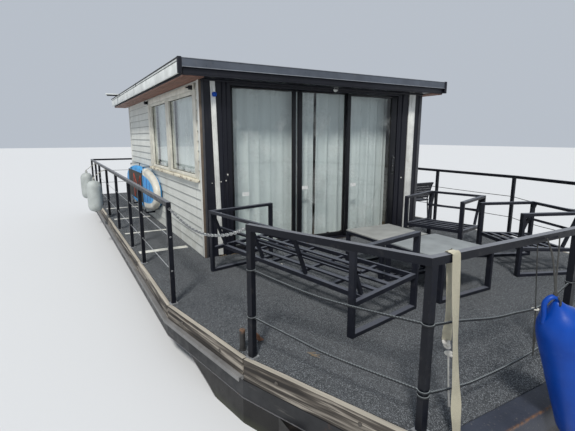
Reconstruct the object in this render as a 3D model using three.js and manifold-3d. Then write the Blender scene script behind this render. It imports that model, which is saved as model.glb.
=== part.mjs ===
// A flat-bottomed steel houseboat: hull, deck, guard rails, hollow cabin, deck furniture and outboard motor.
// Millimetres. +X points to the bow, +Y to port and +Z up. The origin is the middle of the flat hull bottom.
import * as THREE from 'three';
import { mergeVertices } from 'three/addons/utils/BufferGeometryUtils.js';
import Module from 'manifold-3d';

const wasm = await Module();
wasm.setup();

// Driving dimensions
const GAP = 0.3; // left between pieces that touch
const FAR = 6000; // beyond every piece, for cutting
const DECK_TOP = 780; // upper face of the rubber mats, above the hull bottom
const MAT_THICK = 20;
const FRAME_STEP = 630; // top of the fascia part of the deck frame
const HULL_TOP = 500;
const RAIL_HEIGHT = 900; // above the mats
const TUBE = 40; // square tube of rails and furniture

// Plan of the guard rail's centreline: straight sides, two shoulders and a straight bow
const RAIL_HALF_WIDTH = 2424;
const STERN_X = -5045;
const SHOULDER_A = [2845, -RAIL_HALF_WIDTH];
const SHOULDER_B = [3958, -2202];
const BOW_CORNER = [5025, -1772];

// Edges of the deck, measured outwards from the rail line
const MAT_EDGE = 20;
const MAT_BOW_EDGE = 72;
const BOARD_INNER = 24;
const BOARD_OUTER = 62;
const FASCIA_EDGE = 66;
const LEDGE_EDGE = 96;
const BOW_EDGE = 205;
const STERN_EDGE = 95;

// Cabin
const CABIN_FRONT = 1655;
const CABIN_AFT = -3205;
const CABIN_HALF_WIDTH = 1734;
const WALL = 100;
const FRONT_WALL = 140;
const WALL_TOP = DECK_TOP + 2073;
const ROOF_TOP = DECK_TOP + 2240;
const ROOF_FRONT = CABIN_FRONT + 216;
const ROOF_AFT = CABIN_AFT - 412;
const ROOF_HALF_WIDTH = 2000;

const group = new THREE.Group();

function material(color, roughness, metalness = 0) {
  return new THREE.MeshStandardMaterial({ color, roughness, metalness });
}

const finishes = {
  hullBlack: () => material(0x16140f, 0.5, 0.2),
  fasciaGrey: () => material(0x3b3d40, 0.55, 0.2),
  ledgeGrey: () => material(0x8c8f94, 0.5, 0.3),
  railBlack: () => material(0x23262d, 0.4, 0.4),
  rubber: () => material(0x4b4d50, 0.95),
  wood: () => material(0x8a7d6c, 0.85),
  siding: () => material(0xcdd0c8, 0.6),
  panelBlack: () => material(0x23242d, 0.5),
  roofGrey: () => material(0x64676f, 0.4, 0.3),
  white: () => material(0xe4e4e0, 0.5),
  glass: () => material(0x9aa6a6, 0.08),
  cloth: () => material(0xa5afac, 0.9),
  tableTop: () => material(0xa0a29b, 0.6),
  fenderBlue: () => material(0x004bb4, 0.35),
  boardBlue: () => material(0x2891dc, 0.4),
  webbing: () => material(0xbeb99b, 0.9),
  rope: () => material(0x2a2a26, 0.9),
  steel: () => material(0x9a9a96, 0.35, 0.8),
};

function node(name, geometry, finish) {
  const mesh = new THREE.Mesh(geometry, finishes[finish]());
  mesh.name = name;
  group.add(mesh);
  return mesh;
}

// Joining and cutting of closed geometries
function toSolid(geometry) {
  const bare = new THREE.BufferGeometry();
  bare.setAttribute('position', geometry.getAttribute('position'));
  if (geometry.index) bare.setIndex(geometry.index);
  const merged = mergeVertices(bare, 0.001);
  const mesh = new wasm.Mesh({
    numProp: 3,
    vertProperties: new Float32Array(merged.getAttribute('position').array),
    triVerts: new Uint32Array(merged.index.array),
  });
  return new wasm.Manifold(mesh);
}

function toGeometry(solid) {
  const mesh = solid.getMesh();
  const geometry = new THREE.BufferGeometry();
  geometry.setAttribute('position', new THREE.BufferAttribute(mesh.vertProperties, 3));
  geometry.setIndex(new THREE.BufferAttribute(mesh.triVerts, 1));
  geometry.computeVertexNormals();
  return geometry;
}

function join(geometries) {
  const [first, ...others] = geometries.map(toSolid);
  return toGeometry(others.reduce((whole, piece) => whole.add(piece), first));
}

function cut(geometry, tools) {
  return toGeometry(tools.map(toSolid).reduce((rest, tool) => rest.subtract(tool), toSolid(geometry)));
}

// Basic forms
function box([x0, x1], [y0, y1], [z0, z1]) {
  const form = new THREE.BoxGeometry(x1 - x0, y1 - y0, z1 - z0);
  return form.translate((x0 + x1) / 2, (y0 + y1) / 2, (z0 + z1) / 2);
}

function slab(points, z0, z1) {
  const outline = new THREE.Shape(points.map(([x, y]) => new THREE.Vector2(x, y)));
  const form = new THREE.ExtrudeGeometry(outline, { depth: z1 - z0, bevelEnabled: false });
  return form.translate(0, 0, z0);
}

// A side view in X and Z, drawn out across the boat from y0 to y1
function profile(points, y0, y1) {
  const form = slab(points, -y1, -y0);
  return form.rotateX(Math.PI / 2);
}

function rod(radius, length, axis, [x, y, z], sides = 16) {
  const form = new THREE.CylinderGeometry(radius, radius, length, sides);
  if (axis === 'x') form.rotateZ(Math.PI / 2);
  if (axis === 'z') form.rotateX(Math.PI / 2);
  return form.translate(x, y, z);
}

// A round bar between two points
function strut(radius, start, end, sides) {
  const [from, to] = [start, end].map((point) => new THREE.Vector3(...point));
  const along = to.clone().sub(from);
  const upright = new THREE.Vector3(0, 1, 0);
  const form = new THREE.CylinderGeometry(radius, radius, along.length(), sides);
  form.applyQuaternion(new THREE.Quaternion().setFromUnitVectors(upright, along.normalize()));
  return form.translate(...from.add(to).divideScalar(2).toArray());
}

function cord(points, radius, sides, steps) {
  const route = new THREE.CatmullRomCurve3(points.map((p) => new THREE.Vector3(...p)));
  const section = new THREE.Shape();
  for (let i = 0; i < sides; i += 1) {
    const turn = (i / sides) * 2 * Math.PI;
    const corner = [radius * Math.cos(turn), radius * Math.sin(turn)];
    if (i === 0) section.moveTo(...corner);
    else section.lineTo(...corner);
  }
  return new THREE.ExtrudeGeometry(section, { steps, extrudePath: route });
}

// A slab from z = 0 up, whose plan is a rounded rectangle and whose rims are bevelled
function roundedSlab([halfX, halfY], [powerX, powerY], thick, [bevelIn, bevelUp]) {
  const power = (value, exponent) => Math.sign(value) * Math.abs(value) ** exponent;
  const outline = [];
  for (let i = 0; i < 40; i += 1) {
    const turn = ((i + 0.5) / 40) * 2 * Math.PI;
    const corner = [halfX * power(Math.cos(turn), powerX), halfY * power(Math.sin(turn), powerY)];
    outline.push(new THREE.Vector2(...corner));
  }
  const bevel = { bevelSize: bevelIn, bevelOffset: -bevelIn, bevelThickness: bevelUp, bevelSegments: 3 };
  const form = new THREE.ExtrudeGeometry(new THREE.Shape(outline), { depth: thick - 2 * bevelUp, ...bevel });
  return toGeometry(toSolid(form.translate(0, 0, bevelUp)));
}

const mirrored = (points) => points.map(([x, y, turn = 0]) => [x, -y, -turn]);

// The point where two lines meet, each given by a point and a direction
function meet([px, py], [dx, dy], [qx, qy], [ex, ey]) {
  const along = ((qx - px) * ey - (qy - py) * ex) / (dx * ey - dy * ex);
  return [px + dx * along, py + dy * along];
}

function direction([x0, y0], [x1, y1]) {
  const length = Math.hypot(x1 - x0, y1 - y0);
  return [(x1 - x0) / length, (y1 - y0) / length];
}

// Closed plan line moved outwards by a distance of its own for each edge
function offsetPlan(points, distances) {
  const count = points.length;
  const edges = points.map((start, i) => {
    const [dx, dy] = direction(start, points[(i + 1) % count]);
    return { start: [start[0] + dy * distances[i], start[1] - dx * distances[i]], along: [dx, dy] };
  });
  return edges.map((edge, i) => {
    const before = edges[(i + count - 1) % count];
    return meet(before.start, before.along, edge.start, edge.along);
  });
}

// Open plan line moved sideways, to the right of its direction, with mitred corners
function offsetLine(points, distance) {
  return points.map((point, i) => {
    const next = direction(points[Math.min(i, points.length - 2)], points[Math.min(i + 1, points.length - 1)]);
    const last = direction(points[Math.max(i - 1, 0)], points[Math.max(i, 1)]);
    const side = ([dx, dy]) => [point[0] + dy * distance, point[1] - dx * distance];
    const turning = Math.abs(next[0] * last[1] - next[1] * last[0]) > 1e-6;
    return turning ? meet(side(last), last, side(next), next) : side(next);
  });
}

function band(points, inner, outer, z0, z1) {
  return slab([...offsetLine(points, outer), ...offsetLine(points, inner).reverse()], z0, z1);
}

// Plan of the whole rail line, starboard stern corner first
const starboardLine = [[STERN_X, -RAIL_HALF_WIDTH], SHOULDER_A, SHOULDER_B, BOW_CORNER];
const railPlan = [...starboardLine, ...mirrored(starboardLine).reverse()];
const planOffsets = (side, bow, stern) => [side, side, side, bow, side, side, side, stern];

// Hull: a narrower float with raked ends, and a full-width bow block above and below the water
const FLOAT_HALF_WIDTH = 2150;
const TRANSOM_X = -5070;
const FLOAT_FORE_X = 4450;
const floatSide = [
  [TRANSOM_X, HULL_TOP], [TRANSOM_X, 150], [-4750, 0], [3000, 0], [FLOAT_FORE_X, 130], [FLOAT_FORE_X, HULL_TOP],
];
const KNUCKLE_X = 3235; // where the bow block's raked after edge meets the fascia
const bowSide = [
  [KNUCKLE_X, HULL_TOP], [KNUCKLE_X + 400, 310], [KNUCKLE_X + 465, 190], [FLOAT_FORE_X, 110], [5140, 270], [5290, HULL_TOP],
];
const fasciaPlan = offsetPlan(railPlan, planOffsets(FASCIA_EDGE, BOW_EDGE, STERN_EDGE));
const bowBlock = toGeometry(
  toSolid(profile(bowSide, -FAR, FAR)).intersect(toSolid(slab(fasciaPlan, 0, HULL_TOP))),
);
node('hull', join([profile(floatSide, -FLOAT_HALF_WIDTH, FLOAT_HALF_WIDTH), bowBlock]), 'hullBlack');

// Deck frame: a wide fascia below and a narrower plate deck above it, which the boards and mats cover
const PLATE_EDGE = 22;
const platePlan = offsetPlan(railPlan, planOffsets(PLATE_EDGE, BOW_EDGE, STERN_EDGE));
const PLATE_TOP = DECK_TOP - MAT_THICK - GAP;
node(
  'deck_frame',
  join([slab(fasciaPlan, HULL_TOP + GAP, FRAME_STEP), slab(platePlan, FRAME_STEP, PLATE_TOP)]),
  'fasciaGrey',
);

// Side ledges: steel angle bars that stand out below the fender boards, from the stern to shoulder B
const BOW_FACE = BOW_CORNER[0] + BOW_EDGE;
const STERN_FACE = STERN_X - STERN_EDGE;
const sideLine = [[STERN_FACE, -RAIL_HALF_WIDTH], SHOULDER_A, SHOULDER_B];
const LEDGE_TOP = 660;
const LEDGE_THICK = 7;
const BOARD_TOP = DECK_TOP + 2;
const sides = [
  { name: 'starboard', line: (points) => points, inner: (d) => d },
  { name: 'port', line: mirrored, inner: (d) => -d },
];
for (const side of sides) {
  const line = side.line(sideLine);
  const d = side.inner;
  const angleBar = [
    band(line, d(PLATE_EDGE + GAP), d(FASCIA_EDGE), FRAME_STEP + GAP, LEDGE_TOP - LEDGE_THICK),
    band(line, d(PLATE_EDGE + GAP), d(LEDGE_EDGE), LEDGE_TOP - LEDGE_THICK, LEDGE_TOP),
    band(line, d(LEDGE_EDGE - LEDGE_THICK), d(LEDGE_EDGE), LEDGE_TOP - 32, LEDGE_TOP),
  ];
  node(`ledge_${side.name}`, join(angleBar), 'ledgeGrey');
  const shoulderLine = side.line([SHOULDER_B, BOW_CORNER]);
  const boards = [
    band([...line, shoulderLine[1]], d(BOARD_INNER), d(BOARD_OUTER), LEDGE_TOP + GAP, BOARD_TOP),
    band(shoulderLine, d(BOARD_INNER), d(BOARD_OUTER), FRAME_STEP + GAP, BOARD_TOP),
  ];
  node(`fender_board_${side.name}`, join(boards), 'wood');
}

// Painted steel edge plates that close the deck at the bow and the stern
function edgePlate(x0, x1, halfWidth, lipX0, lipX1) {
  return join([
    box([x0, x1], [-halfWidth, halfWidth], [DECK_TOP - MAT_THICK, DECK_TOP - 4]),
    box([lipX0, lipX1], [-halfWidth, halfWidth], [FRAME_STEP + GAP, DECK_TOP - 4]),
  ]);
}
node(
  'bow_edge_plate',
  edgePlate(BOW_CORNER[0] + MAT_BOW_EDGE + 1, BOW_FACE + 6, 1740, BOW_FACE + GAP, BOW_FACE + 6),
  'panelBlack',
);
node(
  'stern_edge_plate',
  edgePlate(STERN_FACE - 6, STERN_X - MAT_EDGE - 1, 2400, STERN_FACE - 6, STERN_FACE - GAP),
  'panelBlack',
);

// Rubber mats on the deck around the cabin, and the cabin's own floor
const matPlan = offsetPlan(railPlan, planOffsets(MAT_EDGE, MAT_BOW_EDGE, MAT_EDGE));
const matSlab = slab(matPlan, DECK_TOP - MAT_THICK, DECK_TOP);
const matAreas = [
  { name: 'deck_mats_fore', x: [CABIN_FRONT + GAP, FAR], y: [-FAR, FAR] },
  { name: 'deck_mats_starboard', x: [CABIN_AFT, CABIN_FRONT], y: [-FAR, -CABIN_HALF_WIDTH - GAP] },
  { name: 'deck_mats_port', x: [CABIN_AFT, CABIN_FRONT], y: [CABIN_HALF_WIDTH + GAP, FAR] },
  { name: 'deck_mats_aft', x: [-FAR, CABIN_AFT - GAP], y: [-FAR, FAR] },
];
for (const area of matAreas) {
  const piece = toSolid(matSlab).intersect(toSolid(box(area.x, area.y, [0, FAR])));
  node(area.name, toGeometry(piece), 'rubber');
}
node(
  'cabin_floor',
  box([CABIN_AFT, CABIN_FRONT], [-CABIN_HALF_WIDTH, CABIN_HALF_WIDTH], [DECK_TOP - MAT_THICK, DECK_TOP]),
  'wood',
);

// Guard rails: a flat-topped square tube on square posts
const FOOT = DECK_TOP + GAP;
const RAIL_TOP = DECK_TOP + RAIL_HEIGHT;
const HALF = TUBE / 2;

function post([x, y, turn = 0]) {
  const square = box([-HALF, HALF], [-HALF, HALF], [FOOT, RAIL_TOP - HALF]);
  return square.rotateZ(THREE.MathUtils.degToRad(turn)).translate(x, y, 0);
}

function guardRail(line, posts) {
  const handrail = band(line, -HALF, HALF, RAIL_TOP - TUBE, RAIL_TOP);
  return join([handrail, ...posts.map(post)]);
}

const MOTOR_GAP_HALF = 480; // half of the gap in the stern rail, where the motor tilts in
const sternHalf = [[STERN_X, -MOTOR_GAP_HALF], [STERN_X, -RAIL_HALF_WIDTH]];
const sternPosts = [
  [STERN_X, -MOTOR_GAP_HALF - HALF], [STERN_X, -1450], [STERN_X, -RAIL_HALF_WIDTH],
];
const sidePostX = [-4015, -3151, -1835, -547, 687, 1486, 2825];
const sidePosts = sidePostX.map((x) => [x, -RAIL_HALF_WIDTH]);
node('rail_starboard', guardRail([...sternHalf, SHOULDER_A], [...sternPosts, ...sidePosts]), 'railBlack');
const portEnd = [SHOULDER_B[0] - 32, SHOULDER_B[1] - 6.4];
const portLine = mirrored([...sternHalf, SHOULDER_A, portEnd]);
node('rail_port', guardRail(portLine, mirrored([...sternPosts, ...sidePosts])), 'railBlack');
const bowLine = [SHOULDER_B, BOW_CORNER, ...mirrored([BOW_CORNER, SHOULDER_B])];
const BOW_POST_Y = 500;
const bowPosts = [
  [SHOULDER_B[0] + 22, SHOULDER_B[1] + 9, 21.9],
  [BOW_CORNER[0], BOW_CORNER[1] + 12],
  [BOW_CORNER[0], -BOW_POST_Y],
];
node('rail_bow', guardRail(bowLine, [...bowPosts, ...mirrored(bowPosts)]), 'railBlack');

// Gate chain, hung across the gap between shoulders A and B on the starboard side
const chainRoute = [
  [2872, -2419, 1624], [3020, -2389, 1569], [3215, -2350, 1524], [3420, -2309, 1513],
  [3640, -2265, 1545], [3800, -2233, 1590], [3932, -2207, 1650],
];
node('gate_chain', cord(chainRoute, 8, 8, 40), 'steel');

// Mooring bollards: pipe stubs on a round base, beside the rail posts
const BOLLARD_HIGH = 150;
const BOLLARD_FOOT_HIGH = 8;
const bollards = [
  { name: 'bollard_bow_starboard', at: [3862, -2213] },
  { name: 'bollard_bow_port', at: [3862, 2213] },
  { name: 'bollard_stern_starboard', at: [-4700, -2414] },
  { name: 'bollard_stern_port', at: [-4700, 2414] },
];
for (const bollard of bollards) {
  const pipe = rod(20, BOLLARD_HIGH, 'z', [...bollard.at, FOOT + BOLLARD_HIGH / 2], 20);
  const base = rod(25, BOLLARD_FOOT_HIGH, 'z', [...bollard.at, FOOT + BOLLARD_FOOT_HIGH / 2], 20);
  node(bollard.name, join([pipe, base]), 'railBlack');
}

// Cabin walls, with their window and door openings cut right through
const SILL_Z = DECK_TOP + 930;
const WINDOW_TOP = DECK_TOP + 1970;
const WINDOW_X = [CABIN_FRONT - 2750, CABIN_FRONT - 160];
const wallZ = [FOOT, WALL_TOP];
const wallSides = [
  { name: 'starboard', y: (low, high) => [-high, -low] },
  { name: 'port', y: (low, high) => [low, high] },
];
for (const side of wallSides) {
  const wall = box([CABIN_AFT, CABIN_FRONT], side.y(CABIN_HALF_WIDTH - WALL, CABIN_HALF_WIDTH), wallZ);
  const hole = box(WINDOW_X, side.y(CABIN_HALF_WIDTH - 2 * WALL, CABIN_HALF_WIDTH + WALL), [SILL_Z, WINDOW_TOP]);
  node(`cabin_wall_${side.name}`, cut(wall, [hole]), 'siding');
}

const INNER_HALF_WIDTH = CABIN_HALF_WIDTH - WALL - GAP;
const DOORWAY_Y = [-1400, 1300];
const DOORWAY_TOP = DECK_TOP + 2050;
const frontWall = cut(
  box([CABIN_FRONT - FRONT_WALL, CABIN_FRONT], [-INNER_HALF_WIDTH, INNER_HALF_WIDTH], wallZ),
  [box([CABIN_FRONT - 200, CABIN_FRONT + 10], DOORWAY_Y, [0, DOORWAY_TOP])],
);
node('cabin_wall_front', frontWall, 'panelBlack');

const AFT_DOOR_HALF = 400;
const AFT_DOOR_TOP = DECK_TOP + 2000;
const DOOR_CLEAR = 7;
const aftWall = cut(
  box([CABIN_AFT, CABIN_AFT + WALL], [-INNER_HALF_WIDTH, INNER_HALF_WIDTH], wallZ),
  [
    box(
      [CABIN_AFT - 10, CABIN_AFT + WALL + 10],
      [-AFT_DOOR_HALF - DOOR_CLEAR, AFT_DOOR_HALF + DOOR_CLEAR],
      [0, AFT_DOOR_TOP + DOOR_CLEAR],
    ),
  ],
);
node('cabin_wall_aft', aftWall, 'siding');

// Roof: a thick board with an anthracite edge, on a set-back frame with the soffit
const SOFFIT_SETBACK = 24;
const FASCIA_SPLIT = DECK_TOP + 2151;
node(
  'roof_frame',
  box(
    [ROOF_AFT + SOFFIT_SETBACK, ROOF_FRONT - SOFFIT_SETBACK],
    [-ROOF_HALF_WIDTH + SOFFIT_SETBACK, ROOF_HALF_WIDTH - SOFFIT_SETBACK],
    [WALL_TOP + GAP, FASCIA_SPLIT],
  ),
  'panelBlack',
);
node(
  'roof',
  box([ROOF_AFT, ROOF_FRONT], [-ROOF_HALF_WIDTH, ROOF_HALF_WIDTH], [FASCIA_SPLIT + GAP, ROOF_TOP]),
  'roofGrey',
);

// Side windows: a frame with a middle post, and two panes set back in it
const PANE_SETBACK = 22;
const PANES = [
  [CABIN_FRONT - 2600, CABIN_FRONT - 1620],
  [CABIN_FRONT - 1420, CABIN_FRONT - 270],
];
const paneZ = [SILL_Z + 50, WINDOW_TOP - 40];
const WINDOW_FACE = CABIN_HALF_WIDTH + 16;
for (const side of wallSides) {
  const frameX = [WINDOW_X[0] + GAP, WINDOW_X[1] - GAP];
  const frame = box(frameX, side.y(CABIN_HALF_WIDTH - WALL, WINDOW_FACE), [SILL_Z + GAP, WINDOW_TOP - GAP]);
  const recesses = PANES.flatMap((x) => [
    box(x, side.y(WINDOW_FACE - PANE_SETBACK, WINDOW_FACE + WALL), paneZ),
    box(x, side.y(CABIN_HALF_WIDTH - 2 * WALL, WINDOW_FACE - 2 * PANE_SETBACK), paneZ),
  ]);
  node(`window_${side.name}`, cut(frame, recesses), 'white');
}

// Front door set: fixed frame, two fixed glass leaves and one that slides in front of them
const LEAF_FIXED_X = [CABIN_FRONT - 90, CABIN_FRONT - 55];
const LEAF_SLIDING_X = [CABIN_FRONT - 44, CABIN_FRONT - 8];
const FRAME_BAR = 26;
const leafZ = [DECK_TOP + 40, DOORWAY_TOP - FRAME_BAR - 8];
const frameOuter = box(
  [CABIN_FRONT - FRONT_WALL, CABIN_FRONT],
  [DOORWAY_Y[0] + GAP, DOORWAY_Y[1] - GAP],
  [FOOT, DOORWAY_TOP - GAP],
);
const frameHole = box(
  [CABIN_FRONT - 200, CABIN_FRONT + 10],
  [DOORWAY_Y[0] + FRAME_BAR, DOORWAY_Y[1] - FRAME_BAR],
  [DECK_TOP + FRAME_BAR, DOORWAY_TOP - FRAME_BAR],
);
node('door_frame', cut(frameOuter, [frameHole]), 'panelBlack');

function glassLeaf(x, [y0, y1], z, bar) {
  const [x0, x1] = x;
  const recess = (from, to) => box([from, to], [y0 + bar.left, y1 - bar.right], [z[0] + bar.low, z[1] - bar.high]);
  return cut(box(x, [y0, y1], z), [recess(x0 - 10, x0 + 13), recess(x1 - 13, x1 + 10)]);
}

const FIXED_MEET_Y = -410;
const fixedZ = [DECK_TOP + FRAME_BAR + GAP, DOORWAY_TOP - FRAME_BAR - GAP];
const leaves = [
  { name: 'door_leaf_fixed_starboard', y: [DOORWAY_Y[0] + FRAME_BAR + GAP, FIXED_MEET_Y - GAP], left: 46, right: 46 },
  { name: 'door_leaf_fixed_middle', y: [FIXED_MEET_Y, 405], left: 57, right: 60 },
];
for (const leaf of leaves) {
  const bar = { left: leaf.left, right: leaf.right, low: 50, high: 24 };
  node(leaf.name, glassLeaf(LEAF_FIXED_X, leaf.y, fixedZ, bar), 'glass');
}
const SLIDING_Y = [349, DOORWAY_Y[1] - FRAME_BAR - 8];
const slidingBar = { left: 57, right: 110, low: 50, high: 24 };
node('door_leaf_sliding', glassLeaf(LEAF_SLIDING_X, SLIDING_Y, leafZ, slidingBar), 'glass');

// Curtains behind the glass
const CURTAIN_X = [CABIN_FRONT - 225, CABIN_FRONT - 175];
const CURTAIN_TOP = DECK_TOP + 2024;
const curtains = [
  { name: 'curtain_starboard', y: [-1450, -82] },
  { name: 'curtain_port', y: [-58, 1250] },
];
for (const curtain of curtains) {
  node(curtain.name, box(CURTAIN_X, curtain.y, [DECK_TOP + 25, CURTAIN_TOP]), 'cloth');
}

// Aft door with a window, hinged on its starboard edge
const AFT_DOOR_X = [CABIN_AFT, CABIN_AFT + 45];
const aftDoorZ = [DECK_TOP + 10, AFT_DOOR_TOP];
const aftPaneY = [-250, 250];
const aftPaneZ = [DECK_TOP + 1050, DECK_TOP + 1850];
const aftDoor = cut(box(AFT_DOOR_X, [-AFT_DOOR_HALF, AFT_DOOR_HALF], aftDoorZ), [
  box([CABIN_AFT - 10, CABIN_AFT + 15], aftPaneY, aftPaneZ),
  box([CABIN_AFT + 30, CABIN_AFT + 60], aftPaneY, aftPaneZ),
]);
node('aft_door', aftDoor, 'panelBlack');

// Deck furniture, welded from flat rectangular tube, with closed sled-shaped ends
const [FLAT_WIDE, FLAT_THIN] = [50, 30];
const ARM_TOP = 670;
const SEAT_TOP = 315; // at the front edge, from where the seat slopes down to the back
const SEAT_SLOPE = THREE.MathUtils.degToRad(3);
const SEAT_BACK_Y = 145;
const BACK_LEAN = 0.386; // radians
const SLAT_ROWS = 4;

function place(mesh, [x, y], degrees) {
  mesh.position.set(x, y, FOOT);
  mesh.rotation.z = THREE.MathUtils.degToRad(degrees);
}

function sledEnd(x, depth, height) {
  const across = [x, x + FLAT_WIDE];
  return [
    box(across, [0, FLAT_THIN], [0, height]),
    box(across, [depth - FLAT_THIN, depth], [0, height]),
    box(across, [0, depth], [0, FLAT_THIN]),
    box(across, [0, depth], [height - FLAT_THIN, height]),
  ];
}

// Seat frame with its top at z = 0 and its front edge at y = 0, before it is tilted
function seatFrame(width, depth, crossX) {
  const front = -FLAT_THIN;
  const back = SEAT_BACK_Y - depth;
  const pitch = (front - 20 - back) / SLAT_ROWS;
  const between = [FLAT_WIDE - 10, width - FLAT_WIDE + 10];
  const slats = Array.from({ length: SLAT_ROWS }, (unused, i) => (
    box(between, [back + pitch * i, back + pitch * i + 40], [-18, -2])
  ));
  return [
    box([5, 45], [20 - depth, -10], [-35, 0]),
    box([width - 45, width - 5], [20 - depth, -10], [-35, 0]),
    box(between, [front - 20, front], [-40, 0]),
    box(between, [back, back + 40], [-40, -10]),
    ...crossX.map((x) => box([x - 15, x + 15], [back + 10, front - 10], [-40, -16])),
    ...slats,
  ];
}

function loungeSeat(width, depth, leanX, crossX) {
  const seat = seatFrame(width, depth, crossX).map((bar) => bar.rotateX(SEAT_SLOPE).translate(0, depth, SEAT_TOP));
  const lean = new THREE.BoxGeometry(30, 25, 390).rotateX(BACK_LEAN);
  const backSlat = new THREE.BoxGeometry(width - 50, 20, 26).rotateX(BACK_LEAN);
  return join([
    ...sledEnd(0, depth, ARM_TOP),
    ...sledEnd(width - FLAT_WIDE, depth, ARM_TOP),
    box([0, width], [0, FLAT_THIN], [ARM_TOP - FLAT_THIN, ARM_TOP]),
    ...leanX.map((x) => lean.clone().translate(x, 88, 468)),
    backSlat.translate(width / 2, 103, 478),
    ...seat,
  ]);
}

const lounge = [
  { name: 'sofa', at: [490, -1850], turn: 10.9, size: [2010, 830], lean: [65, 735, 1342, 1945], cross: [402, 804, 1206, 1608] },
  { name: 'armchair_aft', at: [1230, 1735], turn: 197.5, size: [770, 780], lean: [65, 705], cross: [257, 513] },
  { name: 'armchair_fore', at: [2520, 1510], turn: 158, size: [760, 700], lean: [65, 695], cross: [253, 507] },
];
for (const seat of lounge) {
  const form = loungeSeat(...seat.size, seat.lean, seat.cross);
  place(node(seat.name, form, 'railBlack'), [CABIN_FRONT + seat.at[0], seat.at[1]], seat.turn);
}

// Low tables: a thin board on a frame of the same tube
const TABLE_TOP = 405;
const BOARD_THIN = 12;
function lowTable(length, width) {
  const frameTop = TABLE_TOP - BOARD_THIN;
  return join([
    ...sledEnd(0, width, frameTop),
    ...sledEnd(length - FLAT_WIDE, width, frameTop),
    box([0, length], [0, FLAT_THIN], [frameTop - FLAT_THIN, frameTop]),
    box([0, length], [width - FLAT_THIN, width], [frameTop - FLAT_THIN, frameTop]),
    box([4, length - 4], [4, width - 4], [frameTop - 6, TABLE_TOP]),
  ]);
}
place(node('table_small', lowTable(600, 640), 'tableTop'), [CABIN_FRONT + 1020, -425], 0);
place(node('table_large', lowTable(695, 705), 'tableTop'), [CABIN_FRONT + 1650, -410], 0);

// Garden chair on the port side deck, facing aft, with a slatted seat and a back that leans and widens upwards
const CHAIR_SEAT = 400;
const CHAIR_HALF = 200;
const CHAIR_BACK_HIGH = 300;
const CHAIR_BACK_LEAN = THREE.MathUtils.degToRad(-15);
function gardenChair() {
  const seat = Array.from({ length: 6 }, (unused, i) => (
    box([-CHAIR_HALF + 8, CHAIR_HALF - 8], [-205 + 70 * i, -150 + 70 * i], [CHAIR_SEAT - 14, CHAIR_SEAT - 4])
  ));
  const backSlats = Array.from({ length: 6 }, (unused, i) => {
    const half = 172 + 5 * i;
    return box([-half, half], [-5, 5], [30 + 42 * i, 66 + 42 * i]);
  });
  const backFrame = [
    ...[-1, 1].map((side) => strut(10, [side * 172, 0, -10], [side * 205, 0, CHAIR_BACK_HIGH], 10)),
    box([-212, 212], [-11, 11], [CHAIR_BACK_HIGH - 28, CHAIR_BACK_HIGH + 2]),
  ];
  const back = [...backSlats, ...backFrame].map((bar) => (
    bar.rotateX(CHAIR_BACK_LEAN).translate(0, 200, CHAIR_SEAT)
  ));
  const legs = [-1, 1].flatMap((side) => [-1, 1].flatMap((end) => {
    const x = side * (CHAIR_HALF - 10);
    return [
      strut(10, [x, end * 235, 3], [x, end * 195, CHAIR_SEAT - 10], 10),
      rod(13, 6, 'z', [x, end * 235, 3], 10),
    ];
  }));
  const rails = [
    ...[-1, 1].map((side) => box([side * 190 - 10, side * 190 + 10], [-210, 210], [CHAIR_SEAT - 22, CHAIR_SEAT])),
    box([-CHAIR_HALF, CHAIR_HALF], [-215, -195], [CHAIR_SEAT - 22, CHAIR_SEAT]),
    box([-CHAIR_HALF, CHAIR_HALF], [190, 212], [CHAIR_SEAT - 22, CHAIR_SEAT + 4]),
  ];
  return join([...legs, ...rails, ...seat, ...back]);
}
place(node('garden_chair', gardenChair(), 'railBlack'), [CABIN_FRONT - 390, 2050], -90);

// Paddle board stowed on its edge along the starboard wall, on a rack with two hooked arms
const BOARD_X = [CABIN_FRONT - 4955, CABIN_FRONT - 2060];
const BOARD_Z = [DECK_TOP + 145, DECK_TOP + 890];
const BOARD_THICK = 118;
const boardHalf = [(BOARD_X[1] - BOARD_X[0]) / 2, (BOARD_Z[1] - BOARD_Z[0]) / 2];
const boardForm = roundedSlab(boardHalf, [0.75, 0.8], BOARD_THICK, [30, 34]);
boardForm.rotateX(Math.PI / 2);
boardForm.translate((BOARD_X[0] + BOARD_X[1]) / 2, -CABIN_HALF_WIDTH - 20, (BOARD_Z[0] + BOARD_Z[1]) / 2);
node('paddle_board', boardForm, 'boardBlue');
const WALL_FACE_Y = -CABIN_HALF_WIDTH - GAP;
const HOOK_REACH = 175;
const RACK_THICK = 12;
function boardHook(x) {
  const width = [x - 18, x + 18];
  const lip = [WALL_FACE_Y - HOOK_REACH, WALL_FACE_Y - HOOK_REACH + RACK_THICK];
  const arm = [WALL_FACE_Y - HOOK_REACH, WALL_FACE_Y];
  return [
    box(width, [WALL_FACE_Y - RACK_THICK, WALL_FACE_Y], [BOARD_Z[0] - 30, BOARD_Z[1] + 40]),
    box(width, arm, [BOARD_Z[0] - 30, BOARD_Z[0] - 4]),
    box(width, lip, [BOARD_Z[0] - 30, BOARD_Z[0] + 50]),
    box(width, arm, [BOARD_Z[1] + 28, BOARD_Z[1] + 40]),
    box(width, lip, [BOARD_Z[1] - 15, BOARD_Z[1] + 40]),
  ];
}
const HOOK_X = [CABIN_FRONT - 4050, CABIN_FRONT - 2790];
const wallBar = box(HOOK_X, [WALL_FACE_Y - RACK_THICK, WALL_FACE_Y], [BOARD_Z[0] + 300, BOARD_Z[0] + 340]);
node('board_rack', join([wallBar, ...HOOK_X.flatMap(boardHook)]), 'railBlack');

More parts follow.
